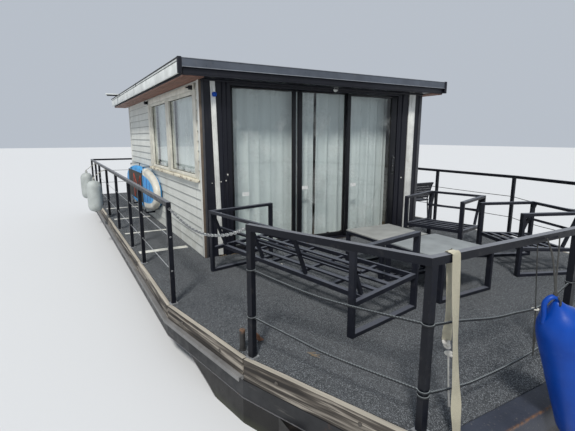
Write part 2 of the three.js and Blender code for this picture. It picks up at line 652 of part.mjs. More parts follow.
// Fenders: a lathed body with a ring eye, and the rope that ties it to the rail
function fenderBody(radius, length) {
  const corner = radius * 0.75;
  const points = [new THREE.Vector2(0, 0)];
  for (let i = 1; i <= 6; i += 1) {
    const turn = (i / 6) * (Math.PI / 2);
    points.push(new THREE.Vector2(radius * Math.sin(turn), corner * (1 - Math.cos(turn))));
  }
  for (let i = 0; i <= 5; i += 1) {
    const turn = (i / 6) * (Math.PI / 2);
    points.push(new THREE.Vector2(radius * Math.cos(turn), length - corner + corner * Math.sin(turn)));
  }
  points.push(new THREE.Vector2(0, length));
  return new THREE.LatheGeometry(points, 20).rotateX(Math.PI / 2);
}
const EYE = 26;
const WHITE_LOW = DECK_TOP + 150;
const [WHITE_RADIUS, WHITE_LONG] = [118, 550];
const whiteFenders = [{ name: 'fender_aft', at: [-3350, -2668] }, { name: 'fender_fore', at: [-1545, -2668] }];
for (const fender of whiteFenders) {
  const [x, y] = fender.at;
  const top = WHITE_LOW + WHITE_LONG;
  const eye = rod(EYE, 16, 'x', [x, y, top + 14], 16);
  node(fender.name, join([fenderBody(WHITE_RADIUS, WHITE_LONG).translate(x, y, WHITE_LOW), eye]), 'white');
  const route = [
    [x, y, top + EYE + 20], [x, y + 50, top + 85], [x, y + 130, top + 140], [x, -RAIL_HALF_WIDTH - 34, RAIL_TOP - 20],
  ];
  node(`${fender.name}_rope`, cord(route, 6, 8, 12), 'rope');
}
const BLUE_TOP = [5316, -1240, DECK_TOP + 669];
const [BLUE_RADIUS, BLUE_LONG] = [115, 863];
const blueBody = fenderBody(BLUE_RADIUS, BLUE_LONG).translate(0, 0, -BLUE_LONG);
const blueEye = rod(34, 30, 'x', [0, 0, 18], 16);
const blue = node('fender_blue', join([blueBody, blueEye]), 'fenderBlue');
blue.position.set(...BLUE_TOP);
blue.rotation.set(THREE.MathUtils.degToRad(22), THREE.MathUtils.degToRad(-4), 0);
const blueRope = [
  [5312, -1260, BLUE_TOP[2] + 54], [5254, -1164, BLUE_TOP[2] + 98],
  [5156, -1016, BLUE_TOP[2] + 166], [BOW_CORNER[0] + 28, -880, RAIL_TOP - 20],
];
node('fender_blue_rope', cord(blueRope, 5, 8, 14), 'rope');

// Webbing strap thrown over the bow rail: a long strand outside and a short one inside, both a little aslant
const STRAP_THICK = 6;
const STRAP_TOP = RAIL_TOP + 2 + STRAP_THICK;
function strand(x, y, low, [outwards, toPort]) {
  const high = STRAP_TOP;
  const form = box([x, x + STRAP_THICK], y, [low, high]);
  const slantX = -outwards / (high - low);
  const slantY = -toPort / (high - low);
  const slant = new THREE.Matrix4().set(
    1, 0, slantX, -slantX * high,
    0, 1, slantY, -slantY * high,
    0, 0, 1, 0,
    0, 0, 0, 1,
  );
  return form.applyMatrix4(slant);
}
const outerX = BOW_CORNER[0] + HALF + 2;
const innerX = BOW_CORNER[0] - HALF - 2 - STRAP_THICK;
const strap = join([
  strand(outerX, [-1682, -1620], DECK_TOP + 20, [88, 12]),
  box([innerX, outerX + STRAP_THICK], [-1682, -1622], [RAIL_TOP + 2, STRAP_TOP]),
  strand(innerX, [-1676, -1622], DECK_TOP + 330, [-20, 50]),
]);
node('strap', strap, 'webbing');

// Outboard motor on a bracket behind the stern
const TILT_AXIS = [-5370, 820]; // x and z
const STEER_X = -5440;
const PROP_Z = 150;
const TRANSOM_PLATE_X = [-5290, -5250];
const COWL_LOW = 913;
node(
  'motor_bracket',
  join([
    box([TRANSOM_PLATE_X[0], STERN_FACE - 6 - GAP], [-200, 200], [560, 770]),
    box(TRANSOM_PLATE_X, [-200, 200], [420, 770]),
  ]),
  'railBlack',
);
const clampPlates = [-1, 1].flatMap((side) => {
  const y = [side * 78, side * 104].sort((a, b) => a - b);
  return [
    box([-5400, TRANSOM_PLATE_X[0] - GAP], y, [560, 850]),
    box([-5300, -5205], y, [770 + GAP, 800]),
  ];
});
const clampBack = box([TRANSOM_PLATE_X[0] - 12, TRANSOM_PLATE_X[0] - GAP], [-104, 104], [560, 700]);
node('motor_clamp', join([...clampPlates, clampBack]), 'railBlack');
node(
  'motor_swivel',
  join([
    rod(38, 280, 'z', [STEER_X, 0, 710], 20),
    box([STEER_X, TILT_AXIS[0] + 10], [-52, 52], [590, 835]),
    rod(30, 140, 'y', [TILT_AXIS[0], 0, TILT_AXIS[1]], 20),
  ]),
  'railBlack',
);
const legPlan = [
  [-5492, 0], [-5500, 34], [-5560, 46], [-5630, 26], [-5652, 0], [-5630, -26], [-5560, -46], [-5500, -34],
];
const skeg = [[-5500, 125], [-5520, 45], [-5610, 25], [-5640, 60], [-5660, 125]];
const gearcase = new THREE.LatheGeometry(
  [[0, -140], [22, -128], [38, -90], [40, 40], [30, 108], [0, 108]].map(([r, z]) => new THREE.Vector2(r, z)),
  20,
).rotateZ(Math.PI / 2).translate(-5600, 0, PROP_Z);
node(
  'motor_leg',
  join([
    slab(legPlan, 140, 900),
    slab([[-5480, -70], [-5480, 70], [-5660, 80], [-5740, 40], [-5740, -40], [-5660, -80]], 264, 272),
    profile(skeg, -7, 7),
    gearcase,
    rod(44, 26, 'z', [STEER_X, 0, 870], 20),
    box([-5560, STEER_X], [-30, 30], [857, 883]),
    rod(44, 22, 'z', [STEER_X, 0, 552], 20),
    box([-5560, STEER_X], [-26, 26], [541, 563]),
    slab([[-5400, -60], [-5370, 0], [-5400, 60], [-5650, 95], [-5690, 0], [-5650, -95]], 886, COWL_LOW - 1),
  ]),
  'railBlack',
);
const cowlForm = roundedSlab([170, 146], [0.6, 0.75], 420, [40, 45]);
node('motor_cowl', cowlForm.translate(-5545, 0, COWL_LOW), 'panelBlack');

const blade = new THREE.BoxGeometry(12, 62, 74).rotateZ(0.55).translate(0, 0, 66);
const blades = [0, 1, 2].map((i) => blade.clone().rotateX((i * 2 * Math.PI) / 3));
const hub = new THREE.LatheGeometry(
  [[0, -36], [24, -30], [32, 10], [32, 36], [0, 36]].map(([r, z]) => new THREE.Vector2(r, z)),
  20,
).rotateZ(-Math.PI / 2);
const propeller = node('propeller', join([hub, ...blades]), 'steel');
propeller.position.set(-5752, 0, PROP_Z);

export default group;
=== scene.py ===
# A flat-bottomed steel houseboat, seen over its starboard bow: finishes and fine pieces round the frame.
# Metres. +X points to the bow, +Y to port and +Z up. The origin is on the centreline and the flat hull
# bottom, 5.15 m forward of the stern edge of the deck.
import math
import random

import bpy
from mathutils import Matrix, Vector


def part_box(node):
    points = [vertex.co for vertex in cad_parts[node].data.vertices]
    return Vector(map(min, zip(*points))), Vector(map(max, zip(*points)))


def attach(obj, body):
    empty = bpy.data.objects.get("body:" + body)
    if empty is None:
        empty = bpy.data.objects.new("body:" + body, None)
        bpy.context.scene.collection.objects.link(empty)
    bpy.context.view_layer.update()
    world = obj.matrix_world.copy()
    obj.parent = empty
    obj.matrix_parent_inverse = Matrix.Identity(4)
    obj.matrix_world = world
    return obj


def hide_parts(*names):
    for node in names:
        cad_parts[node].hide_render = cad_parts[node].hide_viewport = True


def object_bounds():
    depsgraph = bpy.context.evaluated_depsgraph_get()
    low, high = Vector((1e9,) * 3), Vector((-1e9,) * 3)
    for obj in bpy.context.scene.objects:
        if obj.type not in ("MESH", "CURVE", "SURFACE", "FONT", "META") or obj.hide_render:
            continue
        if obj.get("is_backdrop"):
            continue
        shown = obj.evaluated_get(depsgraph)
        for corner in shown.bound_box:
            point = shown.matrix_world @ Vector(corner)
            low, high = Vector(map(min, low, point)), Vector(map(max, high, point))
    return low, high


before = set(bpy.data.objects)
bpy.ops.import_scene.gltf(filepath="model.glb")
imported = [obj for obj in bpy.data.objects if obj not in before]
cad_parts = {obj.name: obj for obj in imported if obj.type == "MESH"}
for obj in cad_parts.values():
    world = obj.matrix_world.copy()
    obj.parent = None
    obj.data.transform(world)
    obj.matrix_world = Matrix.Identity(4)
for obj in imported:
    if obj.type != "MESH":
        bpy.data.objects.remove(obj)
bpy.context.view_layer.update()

# Camera and floor. The picture was taken from the quay, just outside the starboard bow, at standing
# height. The floor lies at the waterline, 0.31 m above the flat hull bottom.
EYE = Vector((6.2452, -3.2107, 2.2117))
LOOK = Vector((-0.8542, 0.4843, -0.1892))
WATERLINE = 0.31


def aimed(thing, direction):
    thing.rotation_mode = "QUATERNION"
    thing.rotation_quaternion = Vector(direction).to_track_quat("-Z", "Y")


bpy.ops.object.select_all(action="DESELECT")
bpy.ops.object.camera_add(location=EYE)
camera = bpy.context.object
aimed(camera, LOOK)
camera.data.lens = 25.44
camera.data.sensor_width = 36
camera.data.clip_start = 0.05
camera.data.clip_end = 400
bpy.context.scene.camera = camera

bpy.ops.mesh.primitive_plane_add(size=160, location=(0, 0, WATERLINE))
floor = bpy.context.object
floor.name = "floor"
floor_paint = bpy.data.materials.new("pale_floor")
floor_paint.use_nodes = True
floor_shader = floor_paint.node_tree.nodes["Principled BSDF"]
floor_shader.inputs["Base Color"].default_value = (0.62, 0.63, 0.64, 1)
floor_shader.inputs["Roughness"].default_value = 0.7
floor.data.materials.append(floor_paint)
floor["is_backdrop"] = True

# Light: an overcast sky, and one wide lamp high on the starboard side.
sky = bpy.data.worlds.new("soft_sky")
sky.use_nodes = True
sky.node_tree.nodes["Background"].inputs["Color"].default_value = (0.80, 0.87, 0.97, 1)
sky.node_tree.nodes["Background"].inputs["Strength"].default_value = 0.6
bpy.context.scene.world = sky
bpy.ops.object.light_add(type="SUN", location=(6, -6, 9))
sun = bpy.context.object
sun.data.energy = 3.1
sun.data.angle = math.radians(9)
sun.data.color = (1.0, 0.97, 0.92)
aimed(sun, (-0.55, 0.45, -0.9))
bpy.context.scene.view_settings.view_transform = "Standard"


# Fender ropes. Thin laid rope, three strands, hitched over the handrail and down to each fender's eye.
# The rope is a three-lobed section that turns once in every seven radii along its route.
def smooth_route(points, step):
    """Points a step apart on a smooth curve through the given ones."""
    points = [Vector(p) for p in points]
    ends = [2 * points[0] - points[1], *points, 2 * points[-1] - points[-2]]
    route = []
    for before, start, end, after in zip(ends, ends[1:], ends[2:], ends[3:]):
        count = max(1, round((end - start).length / step))
        for i in range(count):
            t = i / count
            bend = (2 * before - 5 * start + 4 * end - after) * t * t
            twist = (3 * start - before - 3 * end + after) * t * t * t
            route.append((2 * start + (end - before) * t + bend + twist) / 2)
    return [*route, points[-1]]


def alone():
    bpy.ops.object.select_all(action="DESELECT")


def chosen(piece):
    """Makes a piece the active one, with nothing else selected."""
    alone()
    piece.select_set(True)
    bpy.context.view_layer.objects.active = piece
    return piece


def added(name, data):
    """A new piece in the scene around a mesh or a curve."""
    piece = bpy.data.objects.new(name, data)
    bpy.context.scene.collection.objects.link(piece)
    return piece


def swept(name, route, section, turn_per_step=0.0, closed=False):
    """A closed section, given by its points, drawn along a route as a mesh."""
    line = bpy.data.curves.new(name, "CURVE")
    line.dimensions = "3D"
    line.use_fill_caps = True
    spline = line.splines.new("POLY")
    spline.points.add(len(route) - 1)
    spline.use_cyclic_u = closed
    for i, (point, place) in enumerate(zip(spline.points, route)):
        point.co = (*place, 1)
        point.tilt = i * turn_per_step
    outline = bpy.data.curves.new(name + "_section", "CURVE")
    ring = outline.splines.new("POLY")
    ring.points.add(len(section) - 1)
    ring.use_cyclic_u = True
    for point, (u, v) in zip(ring.points, section):
        point.co = (u, v, 0, 1)
    stencil = added(name + "_section", outline)
    line.bevel_mode = "OBJECT"
    line.bevel_object = stencil
    chosen(added(name, line))
    bpy.ops.object.convert(target="MESH")
    piece = bpy.context.object
    bpy.data.objects.remove(stencil)
    piece.name = name
    return piece


def laid_rope(name, route, radius, per_strand=5):
    """A rope of three round strands along a route whose points lie about half a radius apart."""
    section = []
    for i in range(3 * per_strand):
        turn = 2 * math.pi * i / (3 * per_strand)
        reach = radius * (0.74 + 0.26 * abs(math.cos(1.5 * turn)))
        section.append((reach * math.cos(turn), reach * math.sin(turn)))
    step = (route[1] - route[0]).length
    return swept(name, route, section, 2 * math.pi * step / (7 * radius))


def new_finish(name):
    """A node material with its node tree and its shader."""
    finish = bpy.data.materials.new(name)
    finish.use_nodes = True
    tree = finish.node_tree
    return finish, tree, tree.nodes["Principled BSDF"]


def fill(tree, socket, value):
    """Gives a socket a value, or joins it to another node's output."""
    if isinstance(value, bpy.types.NodeSocket):
        tree.links.new(value, socket)
    else:
        socket.default_value = value


def node(tree, kind, out, **sockets):
    """The output called out of a new shader node, whose sockets take values or outputs."""
    new = tree.nodes.new("ShaderNode" + kind)
    for name, value in sockets.items():
        fill(tree, new.inputs[name.replace("_", " ")], value)
    return new.outputs[out]


def grain(tree, scale, detail=4.0, stretch=(1, 1, 1)):
    """A noise value on the object's own coordinates."""
    fit = node(tree, "Mapping", "Vector", Vector=node(tree, "TexCoord", "Object"), Scale=stretch)
    return node(tree, "TexNoise", "Fac", Vector=fit, Scale=scale, Detail=detail, Roughness=0.6)


def axis(tree, letter):
    """The object's own X, Y or Z."""
    return node(tree, "SeparateXYZ", letter, Vector=node(tree, "TexCoord", "Object"))


def shades(tree, value, stops):
    """A colour ramp: stops are (place, colour)."""
    ramp = tree.nodes.new("ShaderNodeValToRGB")
    marks = ramp.color_ramp.elements
    while len(marks) < len(stops):
        marks.new(0.5)
    for mark, (place, colour) in zip(marks, stops):
        mark.position = place
        mark.color = (*colour, 1)
    tree.links.new(value, ramp.inputs["Fac"])
    return ramp.outputs["Color"]


def level(tree, value, low, high, to_low, to_high):
    """A value taken from one range to another."""
    return node(
        tree, "MapRange", "Result", Value=value, From_Min=low, From_Max=high, To_Min=to_low, To_Max=to_high
    )


def mixed(tree, share, first, second):
    """Two colours mixed by a value; each is a tuple or an output."""
    mix = tree.nodes.new("ShaderNodeMix")
    mix.data_type = "RGBA"
    tree.links.new(share, mix.inputs["Factor"])
    for socket, colour in zip([s for s in mix.inputs if s.type == "RGBA"], (first, second)):
        fill(tree, socket, (*colour, 1) if isinstance(colour, tuple) else colour)
    return [s for s in mix.outputs if s.type == "RGBA"][0]


def patched(tree, under, source, span, colour):
    """A colour over another where a noise, or an axis given by its letter, runs from low to high."""
    value = axis(tree, source) if isinstance(source, str) else grain(tree, *source)
    low, high, *shares = span
    to_low, to_high = shares if len(shares) == 2 else (0, shares[0])
    return mixed(tree, level(tree, value, low, high, to_low, to_high), under, colour)


def surfaced(tree, shader, colour, rough, shine=0.5, bump=None):
    """Joins colour, roughness (a number, or noise, low, high) and bump (height, metres, strength)."""
    if isinstance(rough, tuple):
        noise, low, high = rough
        rough = level(tree, grain(tree, *noise), 0.3, 0.7, low, high)
    for name, value in (("Base Color", colour), ("Roughness", rough), ("Specular IOR Level", shine)):
        fill(tree, shader.inputs[name], value)
    if bump:
        height, distance, strength = bump
        height = grain(tree, *height) if isinstance(height, tuple) else height
        relief = node(tree, "Bump", "Normal", Height=height, Distance=distance, Strength=strength)
        tree.links.new(relief, shader.inputs["Normal"])


def mottled(tree, noise, dark, light, low=0.3, high=0.7):
    """Two shades of one colour, run into each other by noise."""
    return shades(tree, grain(tree, *noise), [(low, dark), (high, light)])


def weathered(name, ground, patches, rough, shine=0.5, bump=None):
    """A finish of two shades (noise, dark, light) with patches of (source, span, colour) over it."""
    finish, tree, shader = new_finish(name)
    colour = mottled(tree, *ground)
    for patch in patches:
        colour = patched(tree, colour, *patch)
    surfaced(tree, shader, colour, rough, shine, bump)
    return finish


def fibre(name, dark, light, thread):
    """Twisted yarn: fine streaks across the strands, soiled in patches."""
    soil = ((14, 5), (0.55, 0.75, 0.45), tuple(c * 0.45 for c in dark))
    return weathered(
        name, ((thread, 6), dark, light, 0.32, 0.62), [soil], 0.92, bump=((thread, 6), 0.0008, 1.0)
    )


def fitted(piece, finish, slot=None, body="houseboat", replaces=(), angle=30):
    """Gives a finished piece its material and its body; its slot is not used."""
    piece.data.materials.clear()
    piece.data.materials.append(finish)
    chosen(piece)
    if angle:
        bpy.ops.object.shade_smooth_by_angle(angle=math.radians(angle))
    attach(piece, body)
    if replaces:
        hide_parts(*replaces)
    return piece


def route_length(route):
    return sum((b - a).length for a, b in zip(route, route[1:]))


RAIL_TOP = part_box("rail_bow")[1].z
fender_rope_yarn = fibre("fender_rope_yarn", (0.10, 0.10, 0.09), (0.52, 0.50, 0.44), 300)
black_yarn = fibre("black_yarn", (0.012, 0.012, 0.014), (0.055, 0.055, 0.05), 260)
ROPE_RADIUS, BLUE_ROPE_RADIUS = 0.006, 0.005
FENDER_EYE = 1.48
rope_pieces = []
for place in ("aft", "fore"):
    low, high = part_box(f"fender_{place}")
    x, y = (low.x + high.x) / 2, (low.y + high.y) / 2
    route = smooth_route(
        [(x, y, FENDER_EYE + 0.046), (x, y + 0.05, FENDER_EYE + 0.085), (x, y + 0.13, FENDER_EYE + 0.14),
         (x, -2.458, RAIL_TOP - 0.02)],
        ROPE_RADIUS / 2,
    )
    rope = laid_rope(f"fender_{place}_line", route, ROPE_RADIUS)
    rope_pieces.append((rope, route, f"fender_{place}_rope", fender_rope_yarn, ROPE_RADIUS))
blue_route = smooth_route(
    [(5.312, -1.26, 1.503), (5.254, -1.164, 1.547), (5.156, -1.016, 1.615), (5.053, -0.88, 1.66)],
    BLUE_ROPE_RADIUS / 2,
)
blue_line = laid_rope("fender_blue_line", blue_route, BLUE_ROPE_RADIUS)
rope_pieces.append((blue_line, blue_route, "fender_blue_rope", black_yarn, BLUE_ROPE_RADIUS))
for rope, route, plain, yarn, radius in rope_pieces:
    fitted(rope, yarn, "rope", replaces=[plain])

# Strap. Flat beige webbing thrown over the bow handrail: a long strand outside that slants outboard, and a
# short one inside that ends in two knots and a thin tail. Woven polyester with a rib along each edge.
STRAP_MIDDLE = -1.633
OUTER_WIDE, INNER_WIDE, WEBBING_THICK = 0.058, 0.046, 0.003


def webbing_route(points, step=0.006):
    return smooth_route([(x, STRAP_MIDDLE + shift, z) for x, z, shift in points], step)


def outward(piece):
    """Turns all faces of a piece outward."""
    chosen(piece)
    bpy.ops.object.mode_set(mode="EDIT")
    bpy.ops.mesh.select_all(action="SELECT")
    bpy.ops.mesh.normals_make_consistent(inside=False)
    bpy.ops.object.mode_set(mode="OBJECT")
    return piece


def skin(name, rows, whole=True):
    """Faces between rows of points; whole rows are rings, and the first and last are closed."""
    wide = len(rows[0])
    faces = []
    for i in range(len(rows) - 1):
        for j in range(wide if whole else wide - 1):
            k = (j + 1) % wide
            faces.append((i * wide + j, i * wide + k, (i + 1) * wide + k, (i + 1) * wide + j))
    if whole:
        faces += [tuple(range(wide))[::-1], tuple(range((len(rows) - 1) * wide, len(rows) * wide))]
    mesh = bpy.data.meshes.new(name)
    mesh.from_pydata([p for row in rows for p in row], [], faces)
    return outward(added(name, mesh))


def webbing(name, route, wide, twist):
    """A flat band along a route, which turns about its own length by twists of (share, spread, turn)."""
    ribs = [(-0.5, 0), (-0.46, 0.5), (0.46, 0.5), (0.5, 0), (0.46, -0.5), (-0.46, -0.5)]
    rows = []
    for i, place in enumerate(route):
        ahead = route[min(i + 1, len(route) - 1)] - route[max(i - 1, 0)]
        ahead.normalize()
        share = i / (len(route) - 1)
        turn = sum(amount * math.exp(-((share - at) / spread) ** 2) for at, spread, amount in twist)
        across = Matrix.Rotation(turn, 3, ahead) @ Vector((0, 1, 0))
        out = ahead.cross(across).normalized()
        across = out.cross(ahead)
        rows.append([place + across * u * wide + out * v * WEBBING_THICK for u, v in ribs])
    return skin(name, rows)


def pattern(tree, kind, out, scale, bands=None):
    """An output of a wave or cell texture on the object's own coordinates."""
    texture = node(tree, "Tex" + kind, out, Vector=node(tree, "TexCoord", "Object"), Scale=scale)
    if bands:
        texture.node.bands_direction = bands
    return texture


def torus(centre, ring, tube, turn=(0, 0, 0), squeeze=(1, 1, 1), segments=(28, 10)):
    alone()
    bpy.ops.mesh.primitive_torus_add(
        major_radius=ring, minor_radius=tube, major_segments=segments[0], minor_segments=segments[1],
        location=centre, rotation=turn,
    )
    piece = bpy.context.object
    piece.scale = squeeze
    bpy.ops.object.transform_apply(location=True, rotation=True, scale=True)
    return piece


def rod(name, points, radius, step, sides=8):
    """A round bar or line along a smooth curve through the points."""
    turns = [2 * math.pi * i / sides for i in range(sides)]
    section = [(radius * math.cos(t), radius * math.sin(t)) for t in turns]
    return swept(name, smooth_route(points, step) if step else points, section)


def coat(
    name, colour, roughness, dirt=(0.10, 0.09, 0.07), dirt_share=0.25, metallic=0.0, scale=6.0, shine=0.5,
):
    """Paint or metal that has weathered: two shades, dirt in patches and fine specks."""
    dark = tuple(c * 0.82 for c in colour)
    light = tuple(min(1, c * 1.12) for c in colour)
    patches = [
        ((scale * 2.3, 8), (0.58, 0.78, dirt_share), dirt),
        ((160, 3), (0.64, 0.74, dirt_share), tuple(c * 0.6 for c in dirt)),
    ]
    rough = ((scale * 4,), max(0.05, roughness - 0.1), roughness + 0.14)
    ground = ((scale,), dark, light, 0.35, 0.65)
    finish = weathered(name, ground, patches, rough, shine, ((90, 6), 0.0006, 0.5))
    finish.node_tree.nodes["Principled BSDF"].inputs["Metallic"].default_value = metallic
    return finish


def joined(name, parts):
    """Several meshes made one piece."""
    alone()
    for part in parts:
        part.select_set(True)
    bpy.context.view_layer.objects.active = parts[0]
    if len(parts) > 1:
        bpy.ops.object.join()
    whole = bpy.context.object
    whole.name = name
    whole.data.name = name
    return whole


def made(name, parts, *finish_and_slot, **rest):
    """Parts joined under a name and fitted."""
    return fitted(joined(name, parts), *finish_and_slot, **rest)


outer_route = webbing_route([
    (5.025, 1.687, 0), (5.038, 1.6865, 0), (5.046, 1.682, 0.004), (5.051, 1.66, 0.005), (5.062, 1.55, 0),
    (5.078, 1.4, -0.006), (5.096, 1.2, -0.008), (5.116, 1.0, -0.006), (5.136, 0.8, -0.004),
])
inner_route = webbing_route([
    (5.0245, 1.6872, 0.004), (5.012, 1.687, 0.004), (5.003, 1.682, 0.004), (4.999, 1.66, 0.016),
    (4.996, 1.55, 0.035), (4.992, 1.42, 0.052), (4.988, 1.3, 0.062), (4.984, 1.2, 0.066),
])
webbing_cloth, tree, shader = new_finish("webbing_cloth")
ribs = pattern(tree, "Wave", "Fac", 260, "Z")
ribs.node.inputs["Distortion"].default_value = 0.6
weave = shades(tree, ribs, [(0.1, (0.40, 0.37, 0.27)), (0.8, (0.58, 0.55, 0.43))])
weave = patched(tree, weave, (9, 6), (0.5, 0.75, 0.55), (0.27, 0.25, 0.19))
surfaced(tree, shader, weave, 0.9, bump=(ribs, 0.0006, 1.0))
for name, route, wide, twist in (
    ("strap_outer", outer_route, OUTER_WIDE, [(0.5, 0.2, -0.27), (0.85, 0.08, 0.3)]),
    ("strap_inner", inner_route, INNER_WIDE, [(0.95, 0.12, 0.9)]),
):
    strand = fitted(webbing(name, route, wide, twist), webbing_cloth, "webbing", replaces=["strap"])
strap_knots = []
for i, (drop, turn) in enumerate(((0.0, 0.3), (0.014, -0.5), (0.026, 0.4), (0.068, -0.2), (0.08, 0.5))):
    centre = (4.984, STRAP_MIDDLE + 0.064 + 0.35 * drop, 1.192 - drop)
    strap_knots.append(torus(centre, 0.012, 0.0085, (turn, 0.3, 0.7 * i), segments=(24, 10)))
tail_points = [
    (4.984, STRAP_MIDDLE + 0.09, 1.12), (4.985, STRAP_MIDDLE + 0.096, 1.04),
    (4.99, STRAP_MIDDLE + 0.103, 0.932), (4.995, STRAP_MIDDLE + 0.113, 0.812),
]
strap_knots.append(rod("strap_tail", tail_points, 0.0045, 0.01))
knot_cloth = coat("knot_cloth", (0.62, 0.60, 0.55), 0.9, (0.3, 0.29, 0.25), 0.4, 0.0, 40)
made("strap_knots", strap_knots, knot_cloth, "webbing", angle=60)

# Hull. Welded steel plate, painted black over years of scrapes, with a greenish line of slime just above
# the water. Weld beads run along the fascia's lower edge, over its butt joints and along the bow knuckle.
SHEER = [(-5.14, -2.424), (2.845, -2.424), (3.958, -2.202), (5.025, -1.772)]
FASCIA_OUT = 0.066
FASCIA_LOW, FASCIA_HIGH = 0.5, 0.63


def beside(line, distance):
    """A plan line moved outboard by a distance, with mitred corners."""
    points = [Vector(p) for p in line]
    moved = []
    for i, point in enumerate(points):
        sides = []
        for start, end in ((i - 1, i), (i, i + 1)):
            if start >= 0 and end < len(points):
                ahead = (points[end] - points[start]).normalized()
                sides.append(Vector((ahead.y, -ahead.x)))
        middle = sum(sides, Vector((0, 0))).normalized()
        moved.append(point + middle * distance / middle.dot(sides[0]))
    return moved


def on_side(side, points):
    """Points of the starboard side, given for either side: 1 keeps them, -1 puts them to port."""
    return [(x, y * side, z) for x, y, z in points]


def jolt(dice, reach, up=1.0):
    """A small random shift that goes up by no more than a share of its reach."""
    return Vector((dice.uniform(-1, 1), dice.uniform(-1, 1), dice.uniform(-1, up))) * reach


def bead(points, radius, seed):
    """A weld bead: a half-round run of overlapping puddles along straight lines."""
    dice = random.Random(seed)
    route = []
    for start, end in zip(points, points[1:]):
        start, end = Vector(start), Vector(end)
        count = max(2, round((end - start).length / 0.012))
        route += [start.lerp(end, i / count) for i in range(count)]
    return rod("weld", [p + jolt(dice, 0.0008) for p in route], radius, 0, 6)


def refinish(finish, *nodes, edge=0.0):
    """Gives built pieces a finish, and rounds their sharp edges where edge is a radius."""
    for name in nodes:
        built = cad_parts[name]
        built.data.materials.clear()
        built.data.materials.append(finish)
        if edge:
            weld = built.modifiers.new("weld", "WELD")
            weld.merge_threshold = 0.00005
            round_edge = built.modifiers.new("edge", "BEVEL")
            round_edge.width = edge
            round_edge.segments = 2
            round_edge.limit_method = "ANGLE"
            round_edge.angle_limit = math.radians(40)
            round_edge.use_clamp_overlap = True


refinish(weathered(
    "hull_paint", ((2.2, 6), (0.004, 0.0036, 0.0036), (0.010, 0.009, 0.0088)),
    [((5, 8, (1, 1, 0.12)), (0.6, 0.72, 0.5), (0.055, 0.045, 0.035)),
     ((26, 8, (0.12, 0.12, 1.6)), (0.66, 0.72, 0.5), (0.10, 0.10, 0.10)),
     ("Z", (WATERLINE, 0.38, 0.75, 0), (0.028, 0.032, 0.016))],
    ((9, 5), 0.22, 0.5), 0.3, ((7, 4), 0.004, 0.5),
), "hull")
refinish(weathered(
    "fascia_paint", ((3, 6), (0.014, 0.0145, 0.016), (0.027, 0.028, 0.031)),
    [((18, 8, (0.16, 0.16, 1.3)), (0.62, 0.72, 0.5), (0.12, 0.115, 0.105)),
     ((4.5, 9), (0.66, 0.76, 0.7), (0.12, 0.055, 0.022))],
    ((11, 5), 0.3, 0.62), 0.3, ((40, 7), 0.001, 0.6),
), "deck_frame")
bead_paint = coat("bead_paint", (0.11, 0.11, 0.115), 0.35, (0.16, 0.08, 0.04), 0.5, 0.3, 14)
fascia_line = beside(SHEER, FASCIA_OUT)
welds = []
for side in (1, -1):
    welds.append(bead([(p.x, p.y * side, FASCIA_LOW + 0.002) for p in fascia_line], 0.0045, 3 + side))
    for x, edge in ((-3.1, 0), (-1.0, 0), (1.1, 0), (2.95, 1)):
        start, end = fascia_line[edge], fascia_line[edge + 1]
        y = start.y + (end.y - start.y) * (x - start.x) / (end.x - start.x)
        welds.append(bead([(x, y * side, FASCIA_LOW), (x, y * side, FASCIA_HIGH)], 0.003, 7))
    knuckle = [(3.235, -2.413, 0.5), (3.47, -2.366, 0.395), (3.635, -2.334, 0.312)]
    welds.append(bead(on_side(side, knuckle), 0.005, 11))
made("hull_welds", welds, bead_paint, "fascia_grey", angle=60)

# Side ledges. Steel angle in light grey paint that the fender boards stand on, worn bare and dirty on top.
ledge_paint = coat("ledge_paint", (0.20, 0.198, 0.196), 0.55, (0.07, 0.06, 0.05), 0.6, 0.2, 5)
refinish(ledge_paint, "ledge_starboard", "ledge_port", edge=0.002)


# Fender boards. Sawn planks bolted to the deck's edge all round, grey from the weather, checked along the
# grain, with pale worn tops. Each plank is its own length, a little out of line with the next.
def solid(kind, **how):
    """A primitive solid with its place, turn and size applied."""
    alone()
    getattr(bpy.ops.mesh, f"primitive_{kind}_add")(**how)
    bpy.ops.object.transform_apply(location=True, rotation=True, scale=True)
    return bpy.context.object


def rounded(piece, edge, segments=2):
    """Rounds the edges of the active piece that turn by more than 30 degrees."""
    if edge:
        round_edge = piece.modifiers.new("edge", "BEVEL")
        round_edge.width = edge
        round_edge.segments = segments
        round_edge.limit_method = "ANGLE"
        bpy.ops.object.modifier_apply(modifier="edge")
    return piece


def mark_grain(piece, origin, ahead, offset):
    """Stores each point's place along, across and up the plank, for the wood finish."""
    across = Vector((-ahead.y, ahead.x, 0))
    marks = piece.data.attributes.new("plank_place", "FLOAT_VECTOR", "POINT")
    for mark, vertex in zip(marks.data, piece.data.vertices):
        away = vertex.co - origin
        mark.vector = (away.dot(ahead) + offset, away.dot(across) + offset, away.z + offset * 0.7)
    return piece


PLANK_THICK = 0.038


